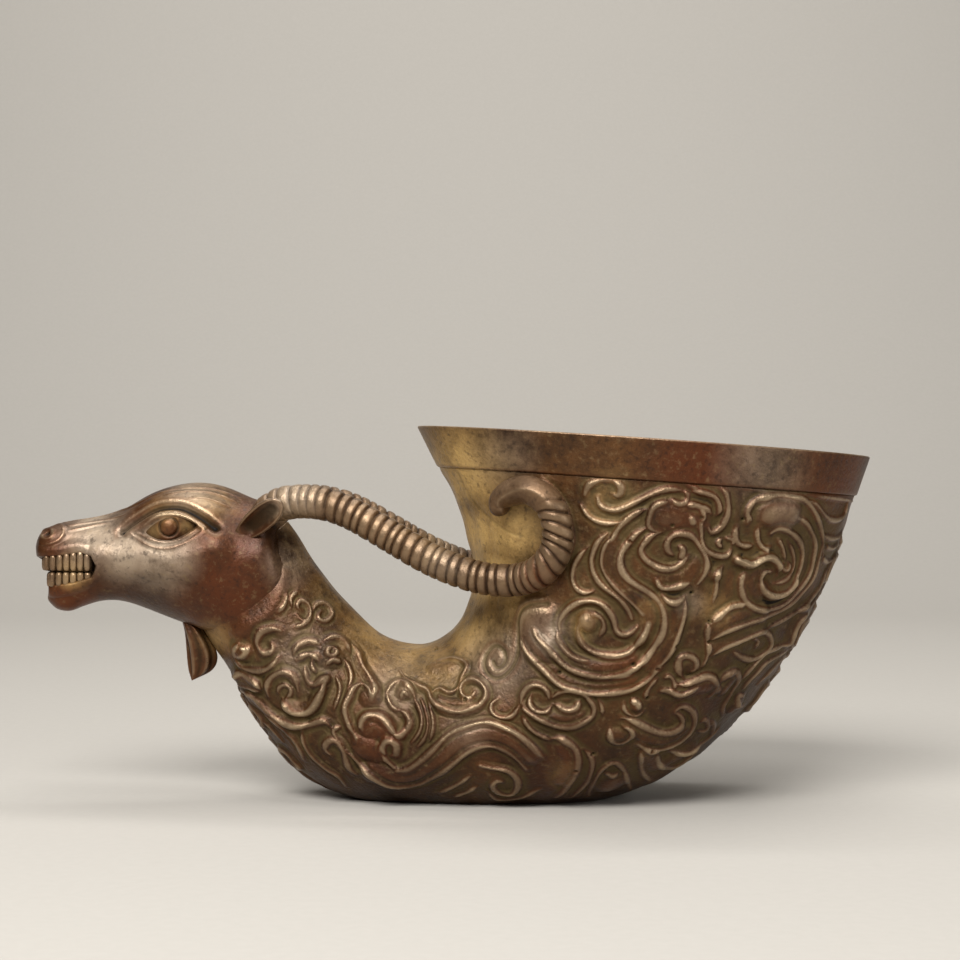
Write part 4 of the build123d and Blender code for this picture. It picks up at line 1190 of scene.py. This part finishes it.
def wall_half(x, z):
    """Half width of the cup at a place of the side view."""
    spread = wall_points(np.linspace(5, lip_step, 300)[:, None], np.linspace(0, math.pi, 120)[None])
    apart = (spread[..., 0] - x) ** 2 + (spread[..., 2] - z) ** 2
    return -spread[..., 1].ravel()[apart.argmin()]


curl_points = [(x, -wall_half(x, z) - curl_seat * horn_radius, z) for x, z in horn_curl]
first_x, first_y = curl_points[0][:2]
span_points = [
    (x, np.interp(x, [horn_span[0][0], first_x], [horn_root_y, first_y]), z) for x, z in horn_span]
line = smooth_rows(span_points + curl_points, np.linspace(0, len(span_points + curl_points) - 1, 3000))
line = spread_evenly(line, line, horn_rows)
ahead = np.gradient(line, axis=0)
ahead /= np.linalg.norm(ahead, axis=1)[:, None]
to_left = np.array([0, -1.0, 0])
out = to_left - (ahead @ to_left)[:, None] * ahead
out /= np.linalg.norm(out, axis=1)[:, None]
up = np.cross(out, ahead)
share = np.linspace(0, 1, horn_rows)[:, None]
turn = np.linspace(0, 2 * math.pi, horn_columns, endpoint=False)[None]
# Ribs were laid into the wax by eye, so some are broad and some narrow, some deep and some shallow.
shuffle = np.random.default_rng(7).normal(0, 1, rib_count + 4)
slant = 0.12 - 0.75 * soft(share, 0.58, 0.74)
count = rib_count * (share - rib_first) / (rib_last - rib_first)
count = count + 0.14 * np.sin(1.3 * count) + 0.06 * np.sin(2.9 * count + 1) + slant * np.sin(turn)
phase = count % 1
which = np.clip(np.floor(count).astype(int), 0, rib_count + 3)
ribbed = soft(share, rib_first - 0.01, rib_first + 0.02) * (1 - soft(share, rib_last - 0.02, rib_last + 0.01))
ribbed = ribbed * (1 - 0.75 * soft(-np.sin(turn), 0.0, 0.6) * (1 - soft(share, 0.12, 0.28)))
groove = np.exp(-((np.minimum(phase, 1 - phase) / 0.115) ** 2))
crest = (1 - groove) * (0.75 + 0.25 * np.sin(math.pi * phase))
# The hook has a blunt edge along its outer side, and its tip is rounded off.
bevel = soft(share, 0.80, 0.88)
roof = (np.abs(np.cos(turn)) ** hook_edge + np.abs(np.sin(turn)) ** hook_edge) ** (-1 / hook_edge)
rounding = np.sqrt(np.clip(1 - np.clip((share - 0.982) / 0.0182, 0, 1) ** 2, 0, 1))
grown = np.interp(share, horn_shares, horn_radii) * rounding * (1 + bevel * (roof - 1))
grown = grown - ribbed * rib_depth * (1 - crest) * (1 + 0.28 * shuffle[which])
grid = (line[:, None] + (np.cos(turn) * grown)[..., None] * out[:, None]
        + (np.sin(turn) * grown)[..., None] * up[:, None])
wear = ribbed * (1.35 * crest - 0.8) + (1 - ribbed) * 0.1
# The hook's blunt edge is painted pale, partly as wear and partly as a painted highlight.
wear = wear + 0.5 * bevel * np.exp(-((np.sin(turn) / 0.15) ** 2))
# Cast bronze, ribbed: tan where the ribs are worn, their pale crests partly a painted highlight, black-brown
# between them.
horn_bronze = bronze("cast_bronze_ribbed_worn", "#7a5d41", "#4e3723", "#22170d", "#80664b", 0.6, 0.37)
for side, name in ((1, "left_horn"), (-1, "right_horn")):
    points, faces = closed_tube(grid * (1, side, 1))
    horn = mesh_object("ribbed_" + name, points, faces, horn_bronze)
    shares = np.ones((len(points), 4)) * (1.0, 2.6, 1.0, 1.0)
    shares[:, 0] = 1 - soft(points[:, 0], -8, 4)
    paint(horn, points, np.append(wear, [0, 0]), shares)
    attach(horn, "root")
    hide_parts(name)
